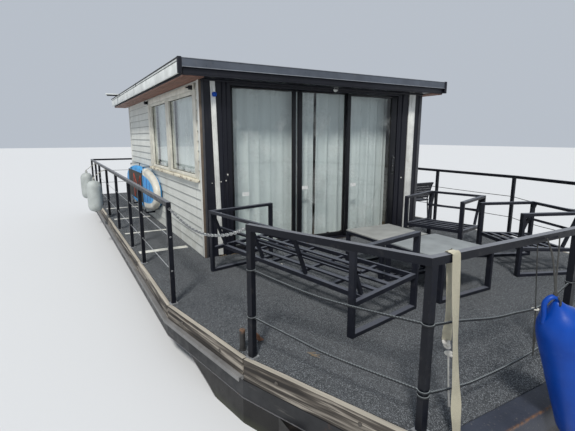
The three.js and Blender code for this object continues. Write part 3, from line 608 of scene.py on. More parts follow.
def plank(start, end, low, high, dice):
    """A sawn board between two plan points, from a bottom to a top."""
    start, end = Vector(start), Vector(end)
    ahead = end - start
    shift = Vector((ahead.y, -ahead.x)).normalized() * dice.uniform(-0.002, 0.002)
    middle = (start + end) / 2 + shift
    board = solid(
        "cube", size=1, location=(middle.x, middle.y, (low + high) / 2),
        rotation=(0, 0, math.atan2(ahead.y, ahead.x)), scale=(ahead.length, PLANK_THICK, high - low),
    )
    flat = ahead.normalized()
    bpy.ops.object.mode_set(mode="EDIT")
    bpy.ops.mesh.select_all(action="DESELECT")
    bpy.ops.object.mode_set(mode="OBJECT")
    for edge in board.data.edges:
        a, b = (board.data.vertices[i].co for i in edge.vertices)
        edge.select = abs((b - a).xy.dot(flat)) > ahead.length * 0.5
    bpy.ops.object.mode_set(mode="EDIT")
    bpy.ops.mesh.select_mode(type="EDGE")
    bpy.ops.mesh.subdivide(number_cuts=max(4, round(ahead.length / 0.09)))
    bpy.ops.object.mode_set(mode="OBJECT")
    for vertex in board.data.vertices:
        vertex.co += jolt(dice, 0.0011, 0.4)
    rounded(board, 0.004)
    origin = Vector((start.x, start.y, low))
    return mark_grain(board, origin, Vector((flat.x, flat.y, 0)), dice.uniform(0, 9))


def facing_up(tree, normal, low, high, share):
    """How far a face looks up, by its Normal or True Normal."""
    upward = node(tree, "SeparateXYZ", "Z", Vector=node(tree, "NewGeometry", normal))
    return level(tree, upward, low, high, 0, share)


def wood(name, dark, middle, light, top):
    """Weathered softwood: long streaks, fine fibres, drying cracks and knots; paler where it faces up."""
    finish, tree, shader = new_finish(name)
    place = node(tree, "Attribute", "Vector")
    place.node.attribute_name = "plank_place"

    def on_plank(kind, out, scale, stretch, **more):
        fit = node(tree, "Mapping", "Vector", Vector=place, Scale=stretch)
        return node(tree, "Tex" + kind, out, Vector=fit, Scale=scale, **more)

    streak = on_plank("Noise", "Fac", 9, (0.16, 3.4, 3.4), Detail=8, Distortion=0.4)
    fine = on_plank("Noise", "Fac", 30, (0.12, 7, 7), Detail=4, Distortion=0.4)
    knot = on_plank("Voronoi", "Distance", 1.0, (2.1, 8, 8))
    colour = shades(tree, streak, [(0.38, dark), (0.5, middle), (0.62, light)])
    colour = mixed(tree, level(tree, fine, 0.36, 0.44, 0.85, 0), colour, tuple(c * 0.3 for c in dark))
    colour = mixed(tree, level(tree, knot, 0.05, 0.13, 0.85, 0), colour, (0.05, 0.035, 0.022))
    worn = shades(tree, streak, [(0.3, tuple(c * 0.72 for c in top)), (0.62, top)])
    colour = mixed(tree, facing_up(tree, "True Normal", 0.35, 0.9, 0.85), colour, worn)
    surfaced(tree, shader, colour, 0.88, bump=(fine, 0.0016, 1.0))
    return finish


old_wood = wood(
    "old_wood", (0.018, 0.015, 0.013), (0.07, 0.06, 0.05), (0.30, 0.27, 0.23), (0.48, 0.44, 0.37)
)
BOARD_IN, BOARD_OUT = 0.024, 0.062
BOARD_LOW, BOARD_LOW_BOW, BOARD_HIGH = 0.6605, 0.632, 0.782
board_line = beside(SHEER, (BOARD_IN + BOARD_OUT) / 2)
joints = [-5.14, -3.35, -1.02, 1.385, board_line[1].x - 0.004]
for side, name in ((1, "starboard"), (-1, "port")):
    dice = random.Random(21 + side)
    boards = []
    y = board_line[0].y * side
    for x0, x1 in zip(joints, joints[1:]):
        top = BOARD_HIGH - dice.uniform(0, 0.004)
        boards.append(plank((x0 + 0.002, y), (x1 - 0.003, y), BOARD_LOW, top, dice))
    for i, low in ((1, BOARD_LOW), (2, BOARD_LOW_BOW)):
        start, end = board_line[i].copy(), board_line[i + 1].copy()
        start.y, end.y = start.y * side, end.y * side
        ahead = (end - start).normalized()
        boards.append(plank(start + ahead * 0.004, end - ahead * 0.002, low, BOARD_HIGH, dice))
    made(f"boards_{name}", boards, old_wood, "weathered_wood", replaces=[f"fender_board_{name}"])

# Coach bolts with washers through the boards.
BOLT_SPACING, BOLT_HEIGHT = 0.62, 0.722


def copied(piece, change):
    """A copy of a piece with a mesh of its own, moved by a matrix."""
    twin = piece.copy()
    twin.data = piece.data.copy()
    twin.data.transform(change)
    if change.determinant() < 0:
        twin.data.flip_normals()
    bpy.context.scene.collection.objects.link(twin)
    return twin


def repeated(piece, places):
    """Copies of a piece at the places, in its stead."""
    copies = [copied(piece, place) for place in places]
    bpy.data.objects.remove(piece)
    return copies


def at(*place):
    return Matrix.Translation(place)


def turned(degrees, letter):
    return Matrix.Rotation(math.radians(degrees), 4, letter)


def mirrored(side):
    return Matrix.Scale(side, 4, (0, 1, 0))


washer = solid("cylinder", vertices=14, radius=0.013, depth=0.003, rotation=(math.pi / 2, 0, 0))
rounded(washer, 0.0008)
dome = solid(
    "uv_sphere", segments=12, ring_count=8, radius=0.007, scale=(1, 0.7, 1), location=(0, -0.0015, 0)
)
bolt_places = []
outer_line = beside(SHEER, BOARD_OUT + 0.0035)
for side in (1, -1):
    for start, end in zip(outer_line, outer_line[1:]):
        run = end - start
        count = max(2, round(run.length / BOLT_SPACING))
        for i in range(count):
            x, y = start.lerp(end, (i + 0.5) / count)
            turn = Matrix.Rotation(math.atan2(run.y, run.x), 4, "Z")
            bolt_places.append(mirrored(side) @ at(x, y, BOLT_HEIGHT) @ turn)
bolt_iron = coat("bolt_iron", (0.10, 0.09, 0.08), 0.55, (0.09, 0.05, 0.03), 0.6, 0.5, 22)
made("board_bolts", repeated(joined("bolt", [washer, dome]), bolt_places), bolt_iron, "chain_steel")


# Deck. Black rubber mats pressed from crumb, with fine pale flecks, laid in sheets with tight joints;
# painted steel strips hold them down on the starboard side deck.
def block(low, high, edge=0.002, segments=2):
    """A box between two corners with its edges rounded."""
    centre = [(a + b) / 2 for a, b in zip(low, high)]
    size = [b - a for a, b in zip(low, high)]
    return rounded(solid("cube", size=1, location=centre, scale=size), edge, segments)


crumb, tree, shader = new_finish("crumb_rubber")
crumbs = pattern(tree, "Voronoi", "Distance", 290)
chance = node(tree, "SeparateColor", "Red", Color=crumbs.node.outputs["Color"])
lump = mottled(tree, (120, 3), (0.020, 0.022, 0.025), (0.075, 0.082, 0.090), 0.35, 0.65)
pale = level(tree, chance, 0.76, 0.94, 0, 0.85)
flecked = mixed(tree, pale, lump, (0.30, 0.32, 0.34))
dusty = patched(tree, flecked, (1.1, 5), (0.4, 0.7, 0.35), (0.125, 0.13, 0.135))
surfaced(tree, shader, dusty, 0.9, 0.3, (crumbs, 0.003, 0.9))
refinish(crumb, "deck_mats_fore", "deck_mats_starboard", "deck_mats_port", "deck_mats_aft")
strips = []
for x, wide in ((1.025, 0.1), (-0.145, 0.06), (-1.4, 0.06), (-2.645, 0.06)):
    strips.append(block((x - wide / 2, -2.4, 0.7795), (x + wide / 2, -1.79, 0.7855)))
strip_paint = coat("strip_paint", (0.62, 0.62, 0.57), 0.6, (0.24, 0.19, 0.13), 0.7, 0.0, 12)
made("deck_strips", strips, strip_paint, "window_white")


# Edge plates. Folded steel at bow and stern, blue-black paint with a rusty outer edge.
def reckoned(tree, operation, *values):
    """A value worked out from others; each is a number or an output."""
    result = node(tree, "Math", "Value")
    result.node.operation = operation
    for socket, value in zip(result.node.inputs, values):
        fill(tree, socket, value)
    return result


plate_paint, tree, shader = new_finish("plate_paint")
smooth = mottled(tree, (5, 7), (0.013, 0.017, 0.030), (0.030, 0.036, 0.055))
gritty = patched(tree, smooth, (70, 5), (0.62, 0.72, 0.6), (0.19, 0.17, 0.15))
from_middle = reckoned(tree, "ABSOLUTE", level(tree, axis(tree, "X"), -5.146, 5.236, -5.191, 5.191))
outer_edge = level(tree, from_middle, 5.179, 5.19, 0, 1)
top_edge = level(tree, axis(tree, "Z"), 0.757, 0.768, 0, 1)
flaking = level(tree, grain(tree, 30, 6), 0.35, 0.6, 0, 1)
rust = reckoned(tree, "MULTIPLY", reckoned(tree, "MULTIPLY", outer_edge, top_edge), flaking)
surfaced(tree, shader, mixed(tree, rust, gritty, (0.16, 0.075, 0.03)), 0.5, bump=((60, 6), 0.0012, 1.0))
refinish(plate_paint, "bow_edge_plate", "stern_edge_plate", edge=0.0015)


# Guard rails. Black powder-coated square tube, with a foot plate and two screws under each post,
# stretched steel wires along the sides and slack black rope round the bow.
def painted_top_light(name, colour, roughness, top, share, shine=0.35):
    """Dark weathered paint whose faces that look up are painted lighter: a painted sky highlight."""
    finish = coat(name, colour, roughness, (0.07, 0.065, 0.06), 0.3, 0.0, 7, shine)
    tree = finish.node_tree
    shade = tree.nodes["Principled BSDF"].inputs["Base Color"]
    under = shade.links[0].from_socket
    # painted highlight: up-facing faces mixed towards the lighter top colour
    tree.links.new(mixed(tree, facing_up(tree, "Normal", 0.75, 0.97, share), under, top), shade)
    return finish


# The rail tube's up-facing faces get a lighter grey: painted sky highlight.
rail_paint = painted_top_light("rail_paint", (0.006, 0.007, 0.011), 0.36, (0.26, 0.27, 0.3), 0.62, shine=0.18)
refinish(rail_paint, "rail_starboard", "rail_port", "rail_bow", edge=0.0035)
DECK, RAIL_OUT = 0.78, 2.424
SIDE_POSTS = [-4.015, -3.151, -1.835, -0.547, 0.687, 1.486, 2.825]
post_places = [(x, y, 0) for x in SIDE_POSTS for y in (-RAIL_OUT, RAIL_OUT)]
post_places += [(-5.045, y * side, 0) for y in (0.5, 1.45, RAIL_OUT) for side in (1, -1)]
post_places += [(5.025, y * side, 0) for y in (0.5, 1.76) for side in (1, -1)]
post_places += [(3.98, -2.193, 21.9), (3.98, 2.193, -21.9)]
foot = [block((-0.034, -0.034, DECK - 0.001), (0.034, 0.034, DECK + 0.005), 0.0015)]
for x in (-0.027, 0.027):
    screw = solid("cylinder", vertices=6, radius=0.006, depth=0.006, location=(x, 0.027, DECK + 0.007))
    foot.append(rounded(screw, 0.0008, 1))
feet = repeated(joined("foot", foot), [at(x, y, 0) @ turned(turn, "Z") for x, y, turn in post_places])
galvanised = coat("galvanised", (0.40, 0.41, 0.42), 0.42, (0.22, 0.11, 0.05), 0.6, 0.7, 22)
made("post_feet", feet, galvanised, "rail_black")

bright_wire = coat("bright_wire", (0.62, 0.63, 0.63), 0.3, (0.2, 0.2, 0.19), 0.3, 0.9, 30)
wires = []
for z in (1.08, 1.38):
    stretch = [(-5.025, -RAIL_OUT, z), (-1.1, -RAIL_OUT, z - 0.006), (2.805, -RAIL_OUT, z)]
    wires.append(rod("wire", stretch, 0.0032, 0.06))
    for x in SIDE_POSTS:
        for out in (-0.0205, 0.0205):
            grommet = torus((x + out, -RAIL_OUT, z), 0.006, 0.0022, (0, math.pi / 2, 0), segments=(12, 6))
            wires.append(grommet)
made("guard_wires_starboard", wires, bright_wire, "chain_steel")


def sagging(start, end, sag, count=7):
    """Points of a slack line between two places."""
    start, end = Vector(start), Vector(end)
    drop = Vector((0, 0, sag))
    return [start.lerp(end, i / count) - drop * 4 * (i / count) * (1 - i / count) for i in range(count + 1)]


def rope_run(points, radius=0.007):
    return laid_rope("guard_rope", smooth_route(points, radius * 0.6), radius)


SHOULDER, CORNER = Vector((3.958, -2.202)), Vector((5.026, -1.772))
guard_ropes = []
for side in (1, -1):
    for slanting in (
        ((0.02, 0.605), (0.448, 0.557), (0.722, 0.552), (1.13, 0.57)),
        ((0.02, 0.285), (0.37, 0.248), (0.641, 0.224), (1.13, 0.225)),
    ):
        spots = [(SHOULDER + (CORNER - SHOULDER).normalized() * far, up) for far, up in slanting]
        guard_ropes.append(rope_run(on_side(side, [(spot.x, spot.y, DECK + up) for spot, up in spots])))
    for straight in (
        ((-1.75, 0.56), (-1.537, 0.533), (-1.267, 0.486), (-1.08, 0.47), (-0.792, 0.458), (-0.51, 0.551)),
        ((-1.75, 0.2), (-1.483, 0.159), (-1.344, 0.149), (-1.026, 0.156), (-0.78, 0.18), (-0.51, 0.23)),
    ):
        guard_ropes.append(rope_run(on_side(side, [(CORNER.x, y, DECK + up) for y, up in straight])))
for z in (DECK + 0.24, DECK + 0.55):
    guard_ropes.append(rope_run(sagging((CORNER.x, -0.49, z), (CORNER.x, 0.49, z), 0.05)))
# The ropes' upper sides get a pale grey: painted highlight.
rope_cover = painted_top_light("rope_cover", (0.010, 0.012, 0.015), 0.5, (0.27, 0.30, 0.31), 0.75)
made("guard_ropes_bow", guard_ropes, rope_cover, "rope")
ties = []
for radius, points in (
    (0.0035, [(5.034, -0.935, 1.642), (5.03, -0.9, 1.45), (5.029, -0.866, 1.232)]),
    (0.0035, [(5.03, -0.866, 1.232), (5.033, -0.858, 1.07), (5.03, -0.834, 0.93)]),
    (0.0035, [(5.03, -0.866, 1.232), (5.033, -0.842, 1.07), (5.03, -0.834, 0.93)]),
    (0.004, [(5.05, -0.745, 1.652), (5.13, -0.9, 1.6), (5.24, -1.12, 1.54), (5.306, -1.245, 1.508)]),
):
    ties.append(rod("tie", points, radius, 0.02))
made("bow_ties", ties, black_yarn, "rope")

port_lines = []
for z in (DECK + 0.3, DECK + 0.6):
    line = []
    stops = [-5.025, *SIDE_POSTS]
    for x0, x1 in zip(stops, stops[1:]):
        line += smooth_route(sagging((x0, RAIL_OUT, z), (x1, RAIL_OUT, z), 0.004), 0.05)[:-1]
    line += smooth_route(sagging((2.825, RAIL_OUT, z), (3.97, 2.2, z - 0.02), 0.03), 0.05)
    port_lines.append(rod("line", line, 0.0045, 0))
    for side in (1, -1):
        astern = on_side(side, [(-5.045, 0.5, z), (-5.045, RAIL_OUT, z)])
        port_lines.append(rod("line", astern, 0.0045, 0.1))
made("guard_lines_port", port_lines, black_yarn, "rope")

# Hitches that hold the slack ropes to their posts.
hitches = []
for x, y, heights in (
    (3.98, -2.193, (0.605, 0.285)), (5.025, -1.76, (0.57, 0.225, 0.2)), (5.025, -0.5, (0.551, 0.23)),
):
    for side in (1, -1):
        for up in heights:
            hitches.append(torus((x, y * side, DECK + up), 0.0285, 0.0048, segments=(20, 8)))
made("rope_hitches", hitches, rope_cover, "rope", angle=60)

# Gate chain. Short-link welded steel chain, 6 mm wire, hung across the gap in the rail; every other link
# is turned a quarter about the chain's own line.
CHAIN_WIRE, CHAIN_PITCH, LINK_ROUND, LINK_STRAIGHT = 0.0033, 0.0255, 0.0095, 0.0075
chain_route = smooth_route(
    [(2.862, -2.421, 1.624), (3.02, -2.389, 1.569), (3.215, -2.35, 1.524), (3.42, -2.309, 1.513),
     (3.64, -2.265, 1.545), (3.8, -2.233, 1.59), (3.942, -2.205, 1.65)],
    0.004,
)
link_line = []
for i in range(24):
    turn = 2 * math.pi * i / 24
    half = math.copysign(LINK_STRAIGHT, 1 if math.cos(turn) > 0 else -1)
    link_line.append(Vector((LINK_ROUND * math.cos(turn) + half, LINK_ROUND * math.sin(turn), 0)))
turns = [2 * math.pi * i / 6 for i in range(6)]
link_section = [(CHAIN_WIRE * math.cos(t), CHAIN_WIRE * math.sin(t)) for t in turns]
link = swept("link", link_line, link_section, closed=True)
link_places, walked, wanted = [], 0.0, 0.0
for here, ahead in zip(chain_route, chain_route[1:]):
    span = (ahead - here).length
    while walked <= wanted < walked + span:
        aim = (ahead - here).normalized().to_track_quat("X", "Z").to_matrix().to_4x4()
        quarter = Matrix.Rotation(math.pi / 2 * (len(link_places) % 2) + 0.4, 4, "X")
        link_places.append(at(*here.lerp(ahead, (wanted - walked) / span)) @ aim @ quarter)
        wanted += CHAIN_PITCH
    walked += span
chain_zinc = coat("chain_zinc", (0.42, 0.43, 0.43), 0.3, (0.08, 0.07, 0.06), 0.5, 0.9, 60)
links = repeated(link, link_places)
made("gate_chain_links", links, chain_zinc, "chain_steel", replaces=["gate_chain"], angle=60)

# Bollards. Pipe stubs welded beside the posts, black with bare rusty rims.
bollard_paint, tree, shader = new_finish("bollard_paint")
black = mottled(tree, (20, 6), (0.009, 0.009, 0.010), (0.028, 0.027, 0.026))
rim = level(tree, axis(tree, "Z"), 0.9, 0.926, 0, 1)
ragged = level(tree, grain(tree, 45, 6), 0.4, 0.55, 0, 1)
bare = mixed(tree, reckoned(tree, "MULTIPLY", rim, ragged), black, (0.15, 0.085, 0.05))
surfaced(tree, shader, bare, 0.6, bump=((60, 6), 0.0012, 1.0))
for end in ("bow", "stern"):
    refinish(bollard_paint, f"bollard_{end}_port", f"bollard_{end}_starboard", edge=0.0025)


# White fenders. Blown vinyl, chalky white with scuffs, a moulded eye at each end; the lower one is black.
def lathe(name, profile, centre=(0, 0, 0), steps=40):
    """A profile of (radius, height) spun about an upright axis."""
    mesh = bpy.data.meshes.new(name)
    points = [(centre[0] + r, centre[1], centre[2] + z) for r, z in profile]
    mesh.from_pydata(points, [(i, i + 1) for i in range(len(points) - 1)], [])
    piece = chosen(added(name, mesh))
    bpy.ops.object.mode_set(mode="EDIT")
    bpy.ops.mesh.select_all(action="SELECT")
    bpy.ops.mesh.spin(steps=steps, angle=2 * math.pi, center=centre, axis=(0, 0, 1))
    bpy.ops.mesh.select_all(action="SELECT")
    bpy.ops.mesh.remove_doubles(threshold=0.00002)
    bpy.ops.mesh.normals_make_consistent(inside=False)
    bpy.ops.object.mode_set(mode="OBJECT")
    return piece


FENDER_RADIUS, FENDER_LONG, FENDER_LOW, FENDER_CONE = 0.118, 0.55, 0.93, 0.115
profile = [(0, 0.0)]
for i in range(1, 12):
    turn = math.pi / 2 * i / 12
    reach = 0.02 + (FENDER_RADIUS - 0.02) * math.sin(turn) ** 0.85
    profile.append((reach, FENDER_CONE * (1 - math.cos(turn))))
for i in range(7):
    swell = 0.0015 * math.sin(math.pi * i / 6)
    profile.append((FENDER_RADIUS + swell, FENDER_CONE + (FENDER_LONG - 0.24) * i / 6))
for i in range(1, 12):
    turn = math.pi / 2 * i / 12
    reach = 0.018 + (FENDER_RADIUS - 0.018) * math.cos(turn) ** 0.85
    profile.append((reach, FENDER_LONG - 0.125 + FENDER_CONE * math.sin(turn)))
profile += [(0.017, FENDER_LONG - 0.003), (0, FENDER_LONG)]
tail_profile = [(0, -0.016), (0.014, -0.015), (0.02, -0.004), (0.026, 0.01), (0, 0.012)]
vinyl = coat("fender_vinyl", (0.40, 0.43, 0.42), 0.5, (0.17, 0.18, 0.15), 0.4, 0.0, 5, shine=0.25)
black_vinyl = coat("black_vinyl", (0.02, 0.02, 0.022), 0.5, (0.1, 0.1, 0.09), 0.3, 0.0, 20)
for place in ("aft", "fore"):
    low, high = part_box(f"fender_{place}")
    x, y = (low.x + high.x) / 2, (low.y + high.y) / 2
    body = lathe("body", profile, (x, y, FENDER_LOW))
    eye = torus((x, y, FENDER_LOW + FENDER_LONG + 0.012), 0.018, 0.008, (math.pi / 2, 0, math.pi / 2))
    made(f"fender_{place}_body", [body, eye], vinyl, "fender_white", replaces=[f"fender_{place}"], angle=50)
    tail = lathe("tail", tail_profile, (x, y, FENDER_LOW + 0.002), 20)
    made(f"fender_{place}_tail", [tail], black_vinyl, "rail_black")

# Blue fender. A heavy vinyl fender hung outside the bow rail, leaning on the edge plate, with a moulded
# loop beside its cone, a faint seam and a valve at the foot.
BLUE_TOP, BLUE_SCALE = (5.316, -1.24, 1.449), 0.9587
BLUE_RADIUS, BLUE_LONG, BLUE_FOOT = 0.12, 0.9, 0.034
profile = [(0, -BLUE_LONG), (0.03, -BLUE_LONG + 0.002), (BLUE_FOOT, -BLUE_LONG + 0.02)]
for i in range(1, 10):
    turn = math.pi / 2 * i / 10
    reach = BLUE_FOOT + (BLUE_RADIUS - BLUE_FOOT) * math.sin(turn)
    profile.append((reach, -BLUE_LONG + 0.02 + 0.12 * (1 - math.cos(turn))))
profile += [
    (BLUE_RADIUS, -0.6), (BLUE_RADIUS + 0.0012, -0.43), (BLUE_RADIUS, -0.415), (BLUE_RADIUS, -0.41),
    (BLUE_RADIUS, -0.25), (BLUE_RADIUS * 0.995, -0.19), (0.115, -0.14), (0.105, -0.1), (0.088, -0.066),
    (0.062, -0.042), (0.044, -0.022), (0.03, -0.004), (0.02, 0.012), (0.01, 0.02), (0, 0.021),
]
loop_points = [
    (-0.085, -0.075), (-0.073, -0.035), (-0.066, 0.005), (-0.054, 0.034), (-0.03, 0.048), (-0.006, 0.045),
    (0.008, 0.02), (0.012, -0.01),
]
aside = Vector((0.46, 0.888, 0))
loop_route = smooth_route([aside * u + Vector((0, 0, v)) for u, v in loop_points], 0.006)
turns = [2 * math.pi * i / 12 for i in range(12)]
loop = swept("blue_loop", loop_route, [(0.0115 * math.cos(t) * 1.25, 0.0115 * math.sin(t)) for t in turns])
blue_body = joined("fender_blue_body", [lathe("body", profile, steps=56), loop])
blue_body.data.transform(at(*BLUE_TOP) @ turned(22, "X") @ turned(-4, "Y") @ Matrix.Scale(BLUE_SCALE, 4))
blue_vinyl = weathered(
    "blue_vinyl", ((5, 6), (0.001, 0.04, 0.27), (0.0015, 0.06, 0.37)),
    [((12, 7), (0.58, 0.75, 0.12), (0.10, 0.24, 0.58))],
    ((16, 5), 0.3, 0.45), 0.25, ((45, 6), 0.0008, 0.6),
)
fitted(blue_body, blue_vinyl, "fender_blue", replaces=["fender_blue"], angle=50)

# Knots of the fender ropes: three tight turns on the eye, and a tucked end.
for rope, route, plain, yarn, radius in rope_pieces:
    eye = route[0]
    turns = []
    for i, (drop, tilt) in enumerate(((0.0, 0.25), (0.008, -0.2), (0.016, 0.15))):
        centre = eye - Vector((0, 0, drop))
        turns.append(torus(centre, radius * 1.35, radius * 0.85, (tilt, 0.3, 0.4 * i), (1, 1, 1.1)))
    tuck = ((0.004, 0, -0.014), (0.016, 0.004, -0.02), (0.024, 0.006, -0.034), (0.026, 0.004, -0.052))
    turns.append(laid_rope("tail", smooth_route([eye + Vector(p) for p in tuck], radius / 2), radius))
    knot = made(plain + "_knot", turns, yarn, "rope", angle=60)

# Cabin cladding. Painted lap boards nailed on in level rows, each with its lower edge standing 14 mm
# proud, cut round the windows. Flat boards cover the corners, and a dark kick board closes the foot.
CABIN_FRONT, CABIN_AFT, CABIN_HALF = 1.655, -3.205, 1.734
LAP_LOW, BOARDS_LOW, WALL_HIGH = 0.7854, 0.784, 2.853
SILL, WINDOW_HIGH = 1.71, 2.75
LAP, LAP_OUT = (SILL - LAP_LOW) / 8, 0.014


def lap_rows(length, rows, z, move):
    """Lap boards of one length, one above the other, along X, their backs at y = 0 and faces at -y."""
    middle = (length / 2, -LAP_OUT / 2, z + LAP / 2)
    board = solid("cube", size=1, location=middle, scale=(length, LAP_OUT, LAP + 0.012))
    for vertex in board.data.vertices:
        if vertex.co.y < -LAP_OUT / 2:
            vertex.co.y = -LAP_OUT if vertex.co.z < z + LAP / 2 else -0.0015
    rounded(board, 0.0012, 1)
    stack = board.modifiers.new("rows", "ARRAY")
    stack.count = rows
    stack.use_relative_offset = False
    stack.use_constant_offset = True
    stack.constant_offset_displace = (0, 0, LAP)
    bpy.ops.object.modifier_apply(modifier="rows")
    board.data.transform(move)
    if move.determinant() < 0:
        board.data.flip_normals()
    return board


def strip(side, x0, x1, near, far, z0, z1, edge=0.002, segments=2):
    """A block on one side (1 port, -1 starboard), between two distances out from the middle."""
    y0, y1 = sorted((near * side, far * side))
    return block((x0, y0, z0), (x1, y1, z1), edge, segments)


cladding, tree, shader = new_finish("cladding")
washed = mottled(tree, (1.6, 6), (0.50, 0.515, 0.485), (0.62, 0.635, 0.60))
washed = patched(tree, washed, (7, 7, (1, 1, 0.14)), (0.56, 0.74, 0.45), (0.36, 0.355, 0.31))
low_down = level(tree, axis(tree, "Z"), 0.78, 1.35, 0.55, 0)
blotch = level(tree, grain(tree, 6, 8), 0.4, 0.65, 0, 1)
soiled = mixed(tree, reckoned(tree, "MULTIPLY", low_down, blotch), washed, (0.34, 0.33, 0.28))
in_row = reckoned(tree, "WRAP", reckoned(tree, "SUBTRACT", axis(tree, "Z"), LAP_LOW), LAP, 0)
under_lap = level(tree, in_row, LAP - 0.011, LAP - 0.003, 0, 0.75)
shadowed = mixed(tree, under_lap, soiled, (0.10, 0.10, 0.095))
surfaced(tree, shader, shadowed, ((9, 4), 0.45, 0.68), bump=((24, 7, (0.12, 0.12, 2.5)), 0.0012, 0.8))
refinish(cladding, "cabin_wall_starboard", "cabin_wall_port", "cabin_wall_aft")

BESIDE_AFT, BESIDE_FORE = -1.17, 1.535
BOARD_FORE, BOARD_AFT = CABIN_FRONT - 0.06, CABIN_AFT + 0.06
AFT_DOOR_EDGE = 0.49
laps = []
for side in (1, -1):
    for x0, x1, rows, z in (
        (BOARD_AFT, BOARD_FORE, 8, LAP_LOW), (BOARD_AFT, BESIDE_AFT, 9, SILL),
        (BESIDE_FORE, BOARD_FORE, 9, SILL), (BOARD_AFT, BOARD_FORE, 1, WINDOW_HIGH - 0.012),
    ):
        laps.append(lap_rows(x1 - x0, rows, z, mirrored(side) @ at(0, -CABIN_HALF, 0) @ at(x0, 0, 0)))
for y0, y1 in ((-CABIN_HALF + 0.05, -AFT_DOOR_EDGE), (AFT_DOOR_EDGE, CABIN_HALF - 0.05)):
    laps.append(lap_rows(y1 - y0, 17, LAP_LOW, at(CABIN_AFT, 0, 0) @ turned(-90, "Z") @ at(-y1, 0, 0)))
made("lap_boards", laps, cladding, "siding")

corners, kicks = [], []
CORNER_THICK = 0.018
for side in (1, -1):
    face, outer = CABIN_HALF, CABIN_HALF + CORNER_THICK
    for x0, x1, near in (
        (CABIN_FRONT - 0.066, CABIN_FRONT - 0.001, face), (CABIN_AFT, CABIN_AFT + 0.07, face),
        (CABIN_AFT - CORNER_THICK, CABIN_AFT, face - 0.06),
    ):
        corners.append(strip(side, x0, x1, near, outer, BOARDS_LOW, WALL_HIGH, 0.0025))
    kicks.append(strip(side, CABIN_AFT, CABIN_FRONT, face, face + 0.01, 0.7802, 0.7875, 0.001))
corner_paint = coat("corner_paint", (0.62, 0.625, 0.585), 0.5, (0.30, 0.24, 0.17), 0.5, 0.0, 4)
made("corner_boards", corners, corner_paint, "siding")
made("wall_foot_strip", kicks, coat("kick_paint", (0.03, 0.03, 0.03), 0.7), "front_black")

# Timber and flashing at the front corners: the brown edge of the starboard wall's end board, then a
# strip of folded dark grey sheet round each corner.
corner_edge = strip(-1, CABIN_FRONT, CABIN_FRONT + 0.006, 1.724, 1.752, BOARDS_LOW, WALL_HIGH, 0.001)
brown_edge = coat("brown_edge", (0.13, 0.10, 0.075), 0.75, (0.07, 0.045, 0.03), 0.7, 0.0, 9)
made("corner_edge", [corner_edge], brown_edge, "weathered_wood")
flashings = []
for side, far in ((-1, 1.724), (1, 1.752)):
    flashings.append(strip(side, CABIN_FRONT, CABIN_FRONT + 0.012, 1.7, far, BOARDS_LOW, WALL_HIGH, 0.003))
flashing_paint = coat("flashing_paint", (0.06, 0.062, 0.07), 0.4, (0.2, 0.16, 0.12), 0.35, 0.3, 6)
made("corner_flashings", flashings, flashing_paint, "roof_grey")

# Front panels. Blue-black steel sheet with narrow upright ribs on both sides of the door, a deep header
# over it, and two white posts.
panel_black = weathered(
    "panel_black", ((3, 6, (1, 1, 0.3)), (0.006, 0.0065, 0.011), (0.011, 0.012, 0.019)),
    [((10, 8, (1, 1, 0.2)), (0.58, 0.76, 0.35), (0.045, 0.042, 0.04))],
    ((8, 5), 0.3, 0.5), 0.3, ((2.5, 3), 0.003, 0.3),
)
refinish(panel_black, "cabin_wall_front", "door_frame", "roof_frame")
sheets = []
for y0, y1, ribs in ((-1.7, -1.4, (-1.475, -1.42)), (1.3, 1.7, (1.36,))):
    sheets.append(block((CABIN_FRONT - 0.0005, y0, BOARDS_LOW), (CABIN_FRONT + 0.0025, y1, WALL_HIGH), 0))
    for y in ribs:
        rib = block((CABIN_FRONT, y - 0.009, BOARDS_LOW), (CABIN_FRONT + 0.016, y + 0.009, WALL_HIGH), 0)
        for vertex in rib.data.vertices:
            if vertex.co.x > CABIN_FRONT + 0.01:
                vertex.co.y = y + (vertex.co.y - y) * 0.55
        sheets.append(rounded(rib, 0.002))
made("front_panels", sheets, panel_black, "front_black")

white_post_paint = coat("white_post_paint", (0.66, 0.67, 0.645), 0.5, (0.32, 0.25, 0.17), 0.45, 0.0, 5)
POST_LOW = 0.8
posts = []
for y0, y1, slant in ((-1.578, -1.522, -0.02), (1.478, 1.6, 0)):
    middle = y0 + (y1 - y0) * 0.36
    for near, far, proud, top in ((y0, middle, 0.02, 2.835), (middle, y1, 0.023, 2.853)):
        post = block((CABIN_FRONT + 0.001, near, POST_LOW), (CABIN_FRONT + proud, far, top), 0.003)
        for vertex in post.data.vertices:
            vertex.co.y += slant * (vertex.co.z - POST_LOW)
        posts.append(post)
made("white_posts", posts, white_post_paint, "window_white")

# Small fittings on the front: screws and a bell push beside the door, a cup hook with a blue float.
studs = []
for y, z, radius in (
    (-1.63, 1.68, 0.006), (-1.52, 1.69, 0.009), (-1.455, 1.7, 0.009), (-1.43, 1.77, 0.013),
    (1.40, 1.6, 0.012),
):
    place = (CABIN_FRONT + 0.006, y, z)
    dome = solid(
        "uv_sphere", segments=14, ring_count=8, radius=radius, scale=(0.55, 1, 1), location=place
    )
    studs.append(dome)
made("front_studs", studs, coat("stud_nylon", (0.5, 0.5, 0.47), 0.4, scale=60), "window_white", angle=60)
hook_line = [(1.678, -1.582, 2.83), (1.69, -1.582, 2.815), (1.698, -1.581, 2.79), (1.69, -1.58, 2.765)]
tag = block((1.684, -1.596, 2.705), (1.692, -1.566, 2.765))
made("cup_hook", [rod("hook", hook_line, 0.004, 0.004), tag], white_post_paint, "window_white")
ball_profile = [
    (0, -0.026), (0.018, -0.025), (0.027, -0.012), (0.028, 0.01), (0.02, 0.023), (0.008, 0.026), (0, 0.026),
]
float_ball = lathe("float", ball_profile, (1.696, -1.58, 2.688), 24)
made("blue_float", [float_ball], blue_vinyl, "fender_blue", angle=50)

